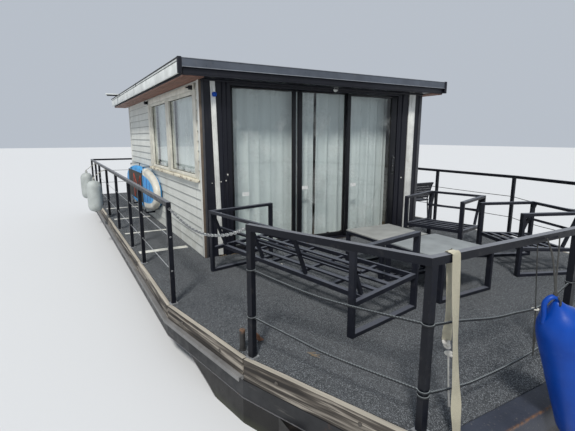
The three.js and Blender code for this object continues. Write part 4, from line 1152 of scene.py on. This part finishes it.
# Front door. Black aluminium leaves with slim stiles; two are fixed, and the port one slides to starboard
# in front of them. Each holds a clear pane in a rubber bead.
pane_glass, tree, shader = new_finish("pane_glass")
tree.nodes.remove(shader)
mirror = node(tree, "BsdfGlossy", "BSDF", Color=(1, 1, 1, 1), Roughness=0.03)
smear = node(tree, "BsdfDiffuse", "BSDF", Color=(0.55, 0.57, 0.56, 1))
front_only = level(tree, node(tree, "NewGeometry", "Backfacing"), 0, 1, 1, 0)
shine = reckoned(tree, "MULTIPLY", node(tree, "Fresnel", "Fac", IOR=1.5), front_only)
clouded = level(tree, grain(tree, 3.5, 8), 0.52, 0.75, 0, 0.22)
glass = node(tree, "BsdfTransparent", "BSDF", Color=(0.97, 0.985, 0.98, 1))
for share, over in ((shine, mirror), (clouded, smear)):
    blend = tree.nodes.new("ShaderNodeMixShader")
    for socket, value in zip(blend.inputs, (share, glass, over)):
        tree.links.new(value, socket)
    glass = blend.outputs["Shader"]
tree.links.new(glass, tree.nodes["Material Output"].inputs["Surface"])
door_paint = coat("door_paint", (0.006, 0.0065, 0.009), 0.36, (0.06, 0.05, 0.04), 0.25, 0.0, 8, shine=0.3)
bead_rubber = coat("bead_rubber", (0.02, 0.02, 0.02), 0.8, scale=30)
# Each kind of leaf: its faces along X, bottom and top, the heights of its rails, and the glass: X, from, to.
FIXED = ((1.565, 1.600), (0.8063, 2.8037), (0.054, 0.02), (1.583, 0.86, 2.79))
SLIDING = ((1.611, 1.647), (0.82, 2.796), (0.055, 0.024), (1.629, 0.875, 2.772))
BEAD = 0.006
for name, leaf, body, kind, stiles, panes in (
    ("starboard", "fixed_starboard", "houseboat", FIXED,
     [(-1.3737, -1.328), (-0.498, -0.45), (-0.4145, -0.4103)], ("starboard", "strip")),
    ("middle", "fixed_middle", "houseboat", FIXED, [(-0.41, -0.353), (0.345, 0.405)], ("middle",)),
    ("sliding", "sliding", "front_door", SLIDING, [(0.349, 0.406), (1.156, 1.266)], ("sliding",)),
):
    (x0, x1), (low, high), (low_rail, high_rail), glass = kind
    bars = [block((x0, a, low), (x1, b, high), 0.0025) for a, b in stiles]
    inner, outer = stiles[0][1] - 0.004, stiles[-1][0] + 0.004
    for z0, z1 in ((low, low + low_rail), (high - high_rail, high)):
        bars.append(block((x0 + 0.001, inner, z0), (x1 - 0.001, outer, z1), 0.0025))
    made(f"front_leaf_{name}", bars, door_paint, "door_black", body, replaces=[f"door_leaf_{leaf}"])
    x, z0, z1 = glass
    for pane, (_, y0), (y1, _) in zip(panes, stiles, stiles[1:]):
        clear = block((x - 0.003, y0 - 0.004, z0 - 0.004), (x + 0.003, y1 + 0.004, z1 + 0.004), 0)
        made(f"front_glass_{pane}_pane", [clear], pane_glass, None, body, angle=0)
        beads = []
        for face in (x - 0.007, x + 0.0035):
            for y in (y0, y1 - BEAD):
                beads.append(block((face, y, z0), (face + 0.004, y + BEAD, z1), 0.001, 1))
            for z in (z0, z1 - BEAD):
                beads.append(block((face, y0, z), (face + 0.004, y1, z + BEAD), 0.001, 1))
        made(f"front_glass_{pane}_beads", beads, bead_rubber, "rubber_mat", body)

# Pull handle with its lock plate and knob, on the sliding leaf's port stile.
PULL_Y = 1.218
bow_line = [
    (x, PULL_Y, z) for x, z in
    ((1.648, 1.69), (1.672, 1.7), (1.678, 1.74), (1.678, 1.87), (1.672, 1.91), (1.648, 1.92))
]
knob = lathe("knob", [(0, 0), (0.012, 0.001), (0.014, 0.01), (0.009, 0.016), (0, 0.017)], steps=20)
knob.data.transform(at(1.649, PULL_Y, 1.78) @ turned(90, "Y"))
lock_plate = block((1.6465, 1.2, 1.66), (1.6495, 1.236, 1.95), 0.0012)
pull_metal = coat("pull_metal", (0.06, 0.062, 0.066), 0.28, metallic=0.8, scale=30)
pull = [lock_plate, rod("pull", bow_line, 0.007, 0.006, 10), knob]
made("door_pull", pull, pull_metal, "door_black", "front_door")

# Threshold: a brushed sill strip with trodden orange-brown grit, and the door's lower track.
sill_parts = [block((1.56, -1.39, 0.7805), (1.68, 1.29, 0.786), 0.0015)]
for x in (1.606, 1.652):
    sill_parts.append(block((x - 0.002, -1.37, 0.786), (x + 0.002, 1.27, 0.806), 0.0008, 1))
sill_metal = coat("sill_metal", (0.06, 0.055, 0.05), 0.55, (0.28, 0.14, 0.055), 0.9, 0.4, 9)
made("door_sill", sill_parts, sill_metal, "door_black")

# Labels on the panes: blank white stickers. Also the round lamp under the roof's front edge.
labels = []
for y, z, x in ((-1.17, 1.51, 1.587), (-0.3, 1.54, 1.587), (0.49, 1.54, 1.633)):
    labels.append(block((x, y - 0.047, z - 0.024), (x + 0.0006, y + 0.047, z + 0.024), 0.0002, 1))
sticker = coat("sticker", (0.70, 0.71, 0.70), 0.4, scale=40)
made("labels_fixed", labels[:2], sticker, "window_white")
made("label_sliding", labels[2:], sticker, "window_white", "front_door")
lamp_profile = [(0, 0), (0.036, 0), (0.038, -0.008), (0.03, -0.014), (0.028, -0.01), (0, -0.01)]
lamp = lathe("lamp", lamp_profile, steps=28)
lamp.data.transform(at(1.675, 0.115, 2.838) @ turned(-70, "Y"))
made("lamp_rim", [lamp], white_post_paint, "window_white", angle=40)


# Curtains. Two pairs of long off-white polyester voile on a track inside the door, gathered into soft
# upright folds, with a scalloped heading and hems that drag on the floor.
def curtain(name, low_y, high_y, low_z, high_z, x, depth, pitch, seed, turn=None):
    """A gathered curtain between two places; returns the piece and its cut width."""
    dice = random.Random(seed)
    width = high_y - low_y
    columns, rows = round(width / pitch * 14), 44
    cloth = solid("grid", x_subdivisions=columns, y_subdivisions=rows, size=1)
    cloth.name = name
    phases = [dice.uniform(0, 6.28) for _ in range(6)]
    folds, limit = width / pitch, depth * 0.92
    for vertex in cloth.data.vertices:
        u, v = vertex.co.x + 0.5, vertex.co.y + 0.5
        wander = 0.35 * math.sin(4.1 * u + phases[0]) + 0.22 * math.sin(9.7 * u + phases[1] + 0.8 * v)
        angle = 2 * math.pi * folds * (u + 0.03 * math.sin(6.0 * u + phases[2]))
        swell = 0.62 + 0.38 * math.sin(7.3 * u + phases[3] + 0.5 * math.sin(3 * v))
        out = swell * math.sin(angle + wander + 0.25 * math.sin(2.4 * v + phases[4]))
        out += 0.28 * math.sin(2 * angle + phases[5]) * (0.4 + 0.6 * v)
        near_hem = max(0.0, 1 - v / 0.09)
        heading = max(0.0, (v - 0.955) / 0.045)
        out *= 0.55 + 0.25 * near_hem - 0.2 * heading
        y = low_y + width * u + 0.012 * math.sin(angle + 1.1 + wander)
        y += near_hem * 0.018 * math.sin(3 * angle)
        z = low_z + (high_z - low_z) * v
        z -= heading * 0.01 * (1 + math.sin(angle * 0.5 + phases[0])) * 0.5
        z += near_hem * 0.016 * (1 + math.sin(angle * 0.7 + phases[2]))
        vertex.co = (x + max(-limit, min(limit, out * depth * 0.8)), min(max(y, low_y), high_y), z)
    first = (rows // 2) * (columns + 1)
    middle = [vertex.co.copy() for vertex in cloth.data.vertices[first:first + columns + 1]]
    if turn is not None:
        cloth.data.transform(turn)
    thick = chosen(cloth).modifiers.new("thick", "SOLIDIFY")
    thick.thickness = 0.0012
    thick.offset = 0
    bpy.ops.object.modifier_apply(modifier="thick")
    return cloth, route_length(middle)


voile, tree, shader = new_finish("voile")
threads = pattern(tree, "Wave", "Fac", 420, "Z")
drape = mottled(tree, (5, 5, (1, 1, 0.06)), (0.50, 0.545, 0.545), (0.62, 0.66, 0.66))
woven = mixed(tree, level(tree, threads, 0, 1, 0, 0.12), drape, (0.44, 0.48, 0.48))
surfaced(tree, shader, woven, 0.9, bump=(threads, 0.0004, 0.5))
for name, low_y, high_y, seed in (
    ("curtain_starboard", -1.448, -0.084, 5), ("curtain_port", -0.056, 1.248, 9),
):
    cloth, cut = curtain(name + "_cloth", low_y, high_y, 0.808, 2.802, 1.455, 0.024, 0.17, seed)
    fitted(cloth, voile, "curtain_cloth", replaces=[name], angle=60)
track = block((1.44, -1.46, 2.8045), (1.47, 1.27, 2.82))
made("curtain_track", [track], white_post_paint, "window_white")

# Side windows. Two white timber sashes beside each other, a wide one forward, in flat white casings,
# with a sloping sill whose paint flakes. The port side has the same pair.
window_paint = coat("window_paint", (0.60, 0.585, 0.51), 0.45, (0.33, 0.27, 0.2), 0.4, 0.0, 7)
flaking_paint = weathered(
    "flaking_paint", ((6, 6), (0.52, 0.49, 0.40), (0.66, 0.62, 0.50), 0.35, 0.65),
    [((22, 9, (0.35, 1, 1)), (0.55, 0.6, 0.9), (0.17, 0.125, 0.085))],
    0.75, bump=((22, 9, (0.35, 1, 1)), 0.002, 1.0),
)
PANE_LOW, PANE_HIGH = 1.76, 2.71
SASH_AFT, SASH_FORE = 0.129, 0.141
CASING_AFT, CASING_FORE, CASING_HIGH = -1.165, 1.535, WINDOW_HIGH + 0.07
SASHES = ((-1.03, -0.945, 0.035, SASH_AFT, 0.05), (SASH_FORE, 0.235, 1.385, 1.447, 0.06))
for side, name in ((-1, "starboard"), (1, "port")):
    rail = (1.661, 1.748) if side < 0 else (1.66, 1.747)
    bars = []
    for aft, x0, x1, fore, _ in SASHES:
        for u0, u1 in ((aft, x0), (x1, fore)):
            bars.append(strip(side, u0, u1, 1.66, 1.748, PANE_LOW - 0.04, PANE_HIGH + 0.03, 0.003))
        for z0, z1 in ((PANE_LOW - 0.04, PANE_LOW), (PANE_HIGH, PANE_HIGH + 0.03)):
            bars.append(strip(side, x0 - 0.004, x1 + 0.004, *rail, z0, z1, 0.003))
    for row in (
        (-1.0945, -1.036, 1.64, 1.756, 1.712, 2.7497, 0.003),
        (1.453, 1.4945, 1.64, 1.756, 1.712, 2.7497, 0.003),
        (-1.0945, 1.4945, 1.64, 1.756, 2.744, 2.7497, 0.001),
        (CASING_AFT, -1.098, 1.735, 1.757, SILL - 0.01, CASING_HIGH, 0.003),
        (1.4975, CASING_FORE, 1.735, 1.757, SILL - 0.01, CASING_HIGH, 0.003),
        (CASING_AFT, CASING_FORE, 1.735, 1.757, WINDOW_HIGH + 0.002, CASING_HIGH, 0.003),
    ):
        bars.append(strip(side, *row))
    made(f"window_frame_{name}", bars, window_paint, "window_white", replaces=[f"window_{name}"])
    joint = strip(side, SASH_AFT, SASH_FORE, 1.66, 1.739, 1.715, 2.744, 0)
    made(f"window_joint_{name}", [joint], bead_rubber, "rubber_mat", angle=0)
    sill = strip(side, -1.17, 1.54, 1.66, 1.79, SILL - 0.02, SILL + 0.012, 0.004)
    for vertex in sill.data.vertices:
        if abs(vertex.co.y) > 1.77:
            vertex.co.z -= 0.009
    made(f"window_sill_{name}", [sill], flaking_paint, "window_white")
    apron = strip(side, -1.12, 1.53, 1.735, 1.752, SILL - 0.115, SILL - 0.02)
    made(f"window_apron_{name}", [apron], cladding, "siding")
    beads = []
    for number, (_, x0, x1, _, beyond) in enumerate(SASHES, 1):
        pane = strip(side, x0 - 0.004, x1 + 0.004, 1.708, 1.714, PANE_LOW - 0.004, PANE_HIGH + 0.004, 0)
        made(f"window_pane_{name}_{number}", [pane], pane_glass, angle=0)
        for u in (x0, x1 - 0.008):
            beads.append(strip(side, u, u + 0.008, 1.714, 1.72, PANE_LOW, PANE_HIGH, 0.001, 1))
        for z in (PANE_LOW, PANE_HIGH - 0.008):
            beads.append(strip(side, x0, x1, 1.714, 1.72, z, z + 0.008, 0.001, 1))
        cloth, cut = curtain(
            f"window_curtain_{name}_{number}", -x1 - beyond, -x0 + 0.05, 1.73, 2.76, 0.0, 0.02, 0.12,
            30 + number + side, at(0, 1.62 * side, 0) @ turned(90, "Z"),
        )
        fitted(cloth, voile, "curtain_cloth", angle=60)
    made(f"window_beads_{name}", beads, bead_rubber, "rubber_mat")


# Roof. Boards on a set-back frame: dark grey folded fascia in front, a white board with a batten and black
# felt edge along the sides, a black strip in the recess between board and batten as painted shadow,
# red-brown soffit boards below, bitumen felt in laps on top.
def blocks(*rows):
    """Blocks, each given as one row: low corner, high corner, edge and bevel steps."""
    return [block(*row) for row in rows]


roof_paint = coat("roof_paint", (0.075, 0.088, 0.112), 0.36, (0.17, 0.16, 0.15), 0.25, 0.0, 4)
edge_line = coat("edge_line", (0.32, 0.34, 0.37), 0.35, (0.15, 0.14, 0.12), 0.3, 0.4, 8)
refinish(roof_paint, "roof", edge=0.004)
ROOF_FRONT, ROOF_AFT, ROOF_HALF = 1.871, -3.617, 2.0
trims = blocks(
    ((ROOF_FRONT - 0.001, -ROOF_HALF, 2.93), (ROOF_FRONT + 0.004, ROOF_HALF, 2.936), 0.001, 1),
    ((ROOF_FRONT - 0.03, -ROOF_HALF, 3.018), (ROOF_FRONT + 0.006, ROOF_HALF, 3.024)),
)
made("roof_front_trim", trims, edge_line, "roof_grey")
lower_front = blocks(
    ((1.83, -1.974, 2.868), (1.852, 1.974, 2.9315), 0.003),
    ((1.84, -2.03, 2.862), (1.879, -1.986, 3.03), 0.004),
    ((1.84, 1.986, 2.862), (1.879, 2.03, 3.03), 0.004),
    ((1.67, -1.74, 2.832), (1.69, 1.74, 2.8535)),
    ((1.846, -1.976, 2.853), (1.851, 1.976, 2.866)),
)
made("roof_front_lower", lower_front, panel_black, "roof_dark")
SIDE_END = ROOF_FRONT - 0.012
white_edges, black_edges_and_shadow_line, soffits = [], [], []
for side in (1, -1):
    for pieces, x1, near, far, z0, z1, edge in (
        (white_edges, SIDE_END, 0, 0.02, 2.868, 2.984, 0.003),
        (white_edges, SIDE_END, -0.02, 0.026, 2.993, 3.01, 0.002),
        # painted shadow: the black strip in the recess between the white board and its batten
        (black_edges_and_shadow_line, SIDE_END, 0, 0.01, 2.984, 2.993, 0),
        (black_edges_and_shadow_line, ROOF_FRONT - 0.006, -0.1, 0.03, 3.01, 3.0255, 0.002),
    ):
        pieces.append(strip(side, ROOF_AFT, x1, ROOF_HALF + near, ROOF_HALF + far, z0, z1, edge))
    black_edges_and_shadow_line.append(strip(side, SIDE_END, ROOF_FRONT + 0.003, 1.988, 2.022, 2.866, 3.0245))
    for i in range(3):
        near = 1.74 + i * 0.08
        soffits.append(strip(side, ROOF_AFT + 0.03, ROOF_FRONT - 0.03, near, near + 0.077, 2.842, 2.8532))
for x in (-0.6, -2.4):
    black_edges_and_shadow_line.append(strip(-1, x, x + 0.03, ROOF_HALF - 0.02, ROOF_HALF + 0.032, 2.99, 3.028))
edge_white = coat("edge_white", (0.63, 0.655, 0.64), 0.5, (0.2, 0.2, 0.17), 0.35, 0.0, 4)
made("roof_white_edges", white_edges, edge_white, "window_white")
felt = coat("roof_felt", (0.035, 0.036, 0.038), 0.9, (0.12, 0.12, 0.10), 0.5, 0.0, 14)
made("roof_black_edges", black_edges_and_shadow_line, felt, "roof_dark")
# The soffit boards are coloured red-brown.
soffit_red_brown = coat("soffit_red_brown", (0.22, 0.115, 0.085), 0.7, (0.10, 0.06, 0.045), 0.5, 0.0, 6)
made("soffit_boards", soffits, soffit_red_brown, "weathered_wood")
felt_laps = []
for i in range(6):
    x1 = ROOF_FRONT - 0.035 - i * 0.92
    low = (max(ROOF_AFT + 0.005, x1 - 0.98), -ROOF_HALF + 0.01, 3.0195)
    felt_laps.append(block(low, (x1, ROOF_HALF - 0.01, 3.0215 + 0.001 * (i % 2)), 0.0008, 1))
made("roof_felt_laps", felt_laps, felt, "roof_dark")

# Small things up at the starboard wall: a black lamp by the aft corner, a bracket over the window's
# fore corner, and a short white arm held out over the roof's starboard edge.
corner_things = blocks(
    ((-1.27, -1.80, 2.765), (-1.2, -1.735, 2.815), 0.008),
    ((1.405, -1.80, 2.752), (1.45, -1.735, 2.80), 0.006),
    ((1.415, -1.83, 2.768), (1.44, -1.78, 2.785), 0.004),
)
made("wall_lamps", corner_things, door_paint, "door_black")
arm = block((-2.715, -2.24, 3.0285), (-2.615, -1.9, 3.048), 0.003)
made("roof_arm", [arm], edge_white, "window_white")
arm_under = blocks(
    ((-2.705, -2.215, 3.008), (-2.625, -2.032, 3.029), 0.003),
    ((-2.705, -2.035, 3.025), (-2.625, -1.91, 3.029), 0.001, 1),
)
made("roof_arm_under", arm_under, felt, "roof_dark")

# Aft door. A black steel leaf with a fixed pane, hinged on its starboard edge, in a painted casing.
refinish(door_paint, "aft_door", edge=0.002)
casing = blocks(
    ((CABIN_AFT - 0.016, -0.49, BOARDS_LOW), (CABIN_AFT, -0.41, 2.85), 0.003),
    ((CABIN_AFT - 0.016, 0.41, BOARDS_LOW), (CABIN_AFT, 0.49, 2.85), 0.003),
    ((CABIN_AFT - 0.016, -0.49, 2.79), (CABIN_AFT, 0.49, 2.85), 0.003),
)
made("aft_door_casing", casing, corner_paint, "siding")
aft_glass = block((-3.197, -0.248, 1.832), (-3.191, 0.248, 2.628), 0)
dark_glass = coat("dark_glass", (0.035, 0.045, 0.045), 0.1, scale=6)
made("aft_door_pane", [aft_glass], dark_glass, None, "rear_door", angle=0)
beads = blocks(
    ((-3.205, -0.25, 1.83), (-3.19, -0.238, 2.63)), ((-3.205, 0.238, 1.83), (-3.19, 0.25, 2.63)),
    ((-3.205, -0.25, 1.83), (-3.19, 0.25, 1.842)), ((-3.205, -0.25, 2.618), (-3.19, 0.25, 2.63)),
)
made("aft_door_beads", beads, bead_rubber, "rubber_mat", "rear_door")
lever_line = [(-3.207, 0.345, 1.84), (-3.245, 0.345, 1.84), (-3.255, 0.33, 1.84), (-3.256, 0.22, 1.837)]
lever = [block((-3.209, 0.325, 1.7), (-3.2045, 0.365, 1.92)), rod("lever", lever_line, 0.009, 0.005, 10)]
made("aft_door_lever", lever, galvanised, "chain_steel", "rear_door", angle=40)
hinges = []
for z in (1.0, 1.78, 2.56):
    barrel = solid("cylinder", vertices=16, radius=0.008, depth=0.1, location=(-3.21, -0.4035, z))
    hinges.append(rounded(barrel, 0.0015))
made("aft_door_hinges", hinges, galvanised, "chain_steel", "rear_door")

# Cabin inside: plank floor, seen only through gaps.
refinish(coat("cabin_boards", (0.22, 0.16, 0.10), 0.6, scale=4), "cabin_floor")

# Deck furniture. Flat black-painted steel tube, welded into sled frames with slatted seats; low tables with
# loose fibre-cement boards. Soft edges on the tube, and painted highlight: a lighter grey on what faces up.
furniture_metal = painted_top_light("furniture_metal", (0.011, 0.0125, 0.019), 0.38, (0.13, 0.14, 0.17), 0.6, shine=0.2)
refinish(furniture_metal, "sofa", "armchair_aft", "armchair_fore", "table_small", "table_large", edge=0.002)
refinish(furniture_metal, "garden_chair")
small_board = coat("small_board", (0.27, 0.275, 0.262), 0.6, (0.24, 0.22, 0.19), 0.3, 0.0, 5)
large_board = coat("large_board", (0.25, 0.27, 0.275), 0.55, (0.22, 0.22, 0.20), 0.3, 0.0, 5)
for name, low, high, finish in (
    ("table_small_board", (2.677, -0.423, 1.1746), (3.273, 0.213, 1.1885), small_board),
    ("table_large_board", (3.307, -0.408, 1.1746), (3.998, 0.293, 1.1885), large_board),
):
    made(name, [block(low, high)], finish, "table_top")


# Paddle board. Inflatable, on its edge in two wall hooks: blue with a pale band around its rounded edge, a
# dark grooved pad, a red bungee in a cross and two black straps. Soft seams where the edge tape laps.
def lofted(name, half, powers, profile, place, count=112, part=(0, 1)):
    """A rounded-corner outline at each (inset, height) of a profile, skinned; whole ones are closed."""
    first, last = round(part[0] * count), round(part[1] * count)
    whole = last - first == count
    rows = []
    for inset, height in profile:
        row = []
        for i in range(first, last if whole else last + 1):
            turn = 2 * math.pi * i / count
            u = math.copysign(abs(math.cos(turn)) ** powers[0], math.cos(turn)) * (half[0] - inset)
            v = math.copysign(abs(math.sin(turn)) ** powers[1], math.sin(turn)) * (half[1] - inset)
            row.append(place @ Vector((u, v, height)))
        rows.append(row)
    return skin(name, rows, whole)


board_low, board_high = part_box("paddle_board")
board_half = [(board_high[i] - board_low[i]) / 2 for i in (0, 2)]
board_middle = (board_low + board_high) / 2
face_y = board_low.y
upright = at(*board_middle) @ turned(90, "X")
EDGE_ROUND, HALF_THICK, BOARD_POWERS = 0.052, 0.0585, (0.75, 0.8)
rounding = [math.radians(-90 + 15 * i) for i in range(13)]
board_profile = [(EDGE_ROUND * (1 - math.cos(t)), HALF_THICK * math.sin(t)) for t in rounding]
board_blue = coat("board_blue", (0.02, 0.30, 0.68), 0.42, (0.03, 0.12, 0.25), 0.3, 0.0, 5)
body = lofted("paddle_board_body", board_half, BOARD_POWERS, board_profile, upright)
fitted(body, board_blue, "board_blue", replaces=["paddle_board"], angle=50)
tape_profile = [(inset - 0.0008, height * 1.014) for inset, height in board_profile[4:]]
tape_profile += [(0.075, 0.0593), (0.12, 0.0593), (0.121, 0.0575), (0.06, 0.0575)]
tape_profile += [(inset + 0.002, height * 0.97) for inset, height in board_profile[:3:-1]]
board_white = coat("board_white", (0.62, 0.60, 0.53), 0.45, (0.35, 0.33, 0.27), 0.3, 0.0, 5)
tape = lofted("board_tape", board_half, BOARD_POWERS, tape_profile, upright, part=(-0.215, 0.215))
fitted(tape, board_white, "fender_white", angle=50)
pad_paint, tree, shader = new_finish("pad_foam")
grooves = pattern(tree, "Wave", "Fac", 16, "Z")
foam = mottled(tree, (60, 5), (0.022, 0.02, 0.019), (0.055, 0.052, 0.048))
surfaced(tree, shader, foam, 0.85, bump=(grooves, 0.0015, 1.0))
pad_low = (board_low.x + 0.35, face_y - 0.004, board_low.z + 0.1)
pad_high = (-1.47, face_y + 0.0006, board_high.z - 0.1)
made("board_pad", [block(pad_low, pad_high, 0.0015)], pad_paint, "rubber_mat")
dark_blue = coat("board_dark_blue", (0.006, 0.09, 0.36), 0.42, (0.02, 0.06, 0.15), 0.3, 0.0, 5)


def on_board(x, half_x, z0, z1, out, into, edge):
    """A flat block on the board's outer face."""
    return block((x - half_x, face_y - out, z0), (x + half_x, face_y + into, z1), edge, 1)


stripes, straps = [], []
z = board_middle.z
for x, half_x, reach in ((-1.335, 0.025, 0.24), (-1.085, 0.035, 0.2), (-0.84, 0.02, 0.15)):
    stripes.append(on_board(x, half_x, z - reach, z + reach, 0.0012, 0.001, 0.0004))
made("board_stripes", stripes, dark_blue, "board_blue")
strap_low, strap_high = board_low.z + 0.05, board_high.z - 0.05
for x in (-1.46, -2.62):
    straps.append(on_board(x, 0.014, strap_low, strap_high, 0.0062, -0.0042, 0.0006))
    for z in (strap_low + 0.03, strap_high - 0.03):
        straps.append(on_board(x, 0.03, z - 0.03, z + 0.03, 0.003, 0.0008, 0.001))
made("board_straps", straps, black_yarn, "webbing")
red_yarn = fibre("red_yarn", (0.30, 0.03, 0.015), (0.62, 0.10, 0.05), 260)
bungees = []
cross = [(-2.3, 1.06), (-1.62, 1.5), (-1.62, 1.06), (-2.3, 1.5)]
for (x0, z0), (x1, z1) in zip(cross, [*cross[1:], cross[0]]):
    bungees.append(rod("bungee", [(x0, face_y - 0.009, z0), (x1, face_y - 0.009, z1)], 0.0045, 0.05))
    bungees.append(torus((x0, face_y - 0.006, z0), 0.014, 0.003, (math.radians(90), 0, 0)))
made("board_bungee", bungees, red_yarn, "rope")
refinish(rail_paint, "board_rack", edge=0.002)
rack_tips = []
for x in (-2.395, -1.135):
    low = (x - 0.02, -1.9112, board_high.z - 0.02)
    rack_tips.append(block(low, (x + 0.02, -1.8955, board_high.z + 0.006)))
made("rack_tips", rack_tips, window_paint, "fender_white")


# Outboard motor on a bracket behind the stern: grey painted castings, a black cowl with a pale band and air
# slots, a steel screw with its nut, bolts through the bracket plate.
def hex_head(at_x, y, z, along, radius=0.011, deep=0.009):
    """A bolt head with its washer, facing along +X or -X."""
    parts = []
    for sides, wide, far in ((6, radius, deep), (20, radius * 1.5, 0.002)):
        place = (at_x + along * far / 2, y, z)
        turn = (0, math.radians(90), 0)
        disc = solid("cylinder", vertices=sides, radius=wide, depth=far, rotation=turn, location=place)
        parts.append(rounded(disc, 0.0008, 1))
    return parts


motor_grey = coat("motor_grey", (0.045, 0.048, 0.054), 0.42, (0.13, 0.12, 0.10), 0.3, 0.2, 7)
motor_black = coat("motor_black", (0.008, 0.008, 0.010), 0.24, (0.06, 0.055, 0.05), 0.2, 0.0, 6)
refinish(motor_grey, "motor_bracket", "motor_clamp", "motor_swivel", "motor_leg", edge=0.003)
refinish(motor_black, "motor_cowl")
screw_metal = coat("screw_metal", (0.42, 0.40, 0.36), 0.32, (0.16, 0.14, 0.11), 0.35, 0.9, 12)
refinish(screw_metal, "propeller", edge=0.0015)
cowl_low, cowl_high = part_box("motor_cowl")
cowl_half = [(cowl_high[i] - cowl_low[i]) / 2 for i in (0, 1)]
band = [(0.012, 0.1), (-0.002, 0.1), (-0.004, 0.105), (-0.004, 0.128), (-0.002, 0.133), (0.012, 0.133)]
cowl_band = lofted("cowl_band", cowl_half, (0.6, 0.75), band, at(-5.545, 0, cowl_low.z))
fitted(cowl_band, motor_grey, "motor_grey", "motor", angle=50)
slots = []
for i in range(5):
    z = cowl_low.z + 0.24 + 0.022 * i
    slots.append(block((-5.7185, -0.065, z), (-5.7, 0.065, z + 0.011)))
slots.append(torus((-5.7165, 0, cowl_low.z + 0.19), 0.038, 0.006, (0, math.radians(90), 0), (1, 1.4, 0.6)))
made("cowl_slots", slots, motor_grey, "motor_cowl", "motor")
bolts = []
for x, along, heights in ((-5.25, 1, (0.46, 0.52, 0.73)), (-5.29, -1, (0.46, 0.52))):
    for y in (-0.165, 0.165):
        for z in heights:
            bolts += hex_head(x, y, z, along)
made("bracket_bolts", bolts, galvanised, "chain_steel")
made("screw_nut", hex_head(-5.788, 0, 0.15, -1, 0.014, 0.008), galvanised, "propeller", "screw")

# Small things on the deck and trim: a rusty bracket by the gate post, a white pebble, dry stalks, and crumbs
# along the sill, and the ring that the thin ties share.
rust_metal = coat("rust_metal", (0.16, 0.07, 0.035), 0.8, (0.05, 0.03, 0.02), 0.5, 0.0, 30)
bracket = blocks(
    ((3.80, -2.085, 0.801), (3.85, -2.075, 0.845), 0.001),
    ((3.80, -2.085, 0.8005), (3.85, -2.045, 0.805), 0.001),
)
made("loose_bracket", bracket, rust_metal, "chain_steel")
pebble = solid(
    "ico_sphere", subdivisions=2, radius=0.013, location=(2.399, -1.107, 0.8095), scale=(1.3, 0.9, 0.7)
)
made("pebble", [pebble], board_white, "fender_white")
dice = random.Random(41)
litter = []
STALK_Z = 0.8035
for i in range(5):
    x, y, turn = 4.11 + 0.09 * dice.random(), -1.875 + 0.02 * dice.random(), dice.uniform(0.4, 1.3)
    far = (x + 0.06 * math.sin(turn), y + 0.06 * math.cos(turn), STALK_Z)
    litter.append(rod("stalk", [(x, y, STALK_Z), far], 0.0013, 0.03, 5))
for i in range(46):
    x, y, size = 1.69 + 0.06 * dice.random(), dice.uniform(-1.6, -1.2), dice.uniform(0.002, 0.005)
    litter.append(block((x, y, 0.8), (x + size * 1.6, y + size * 2, 0.8 + size), 0))
straw = coat("straw", (0.28, 0.20, 0.11), 0.8, scale=40)
made("deck_litter", litter, straw, "weathered_wood", angle=0)
made("tie_ring", [torus((5.028, -0.866, 1.232), 0.016, 0.0045)], board_white, "fender_white")
alone()
low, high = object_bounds()
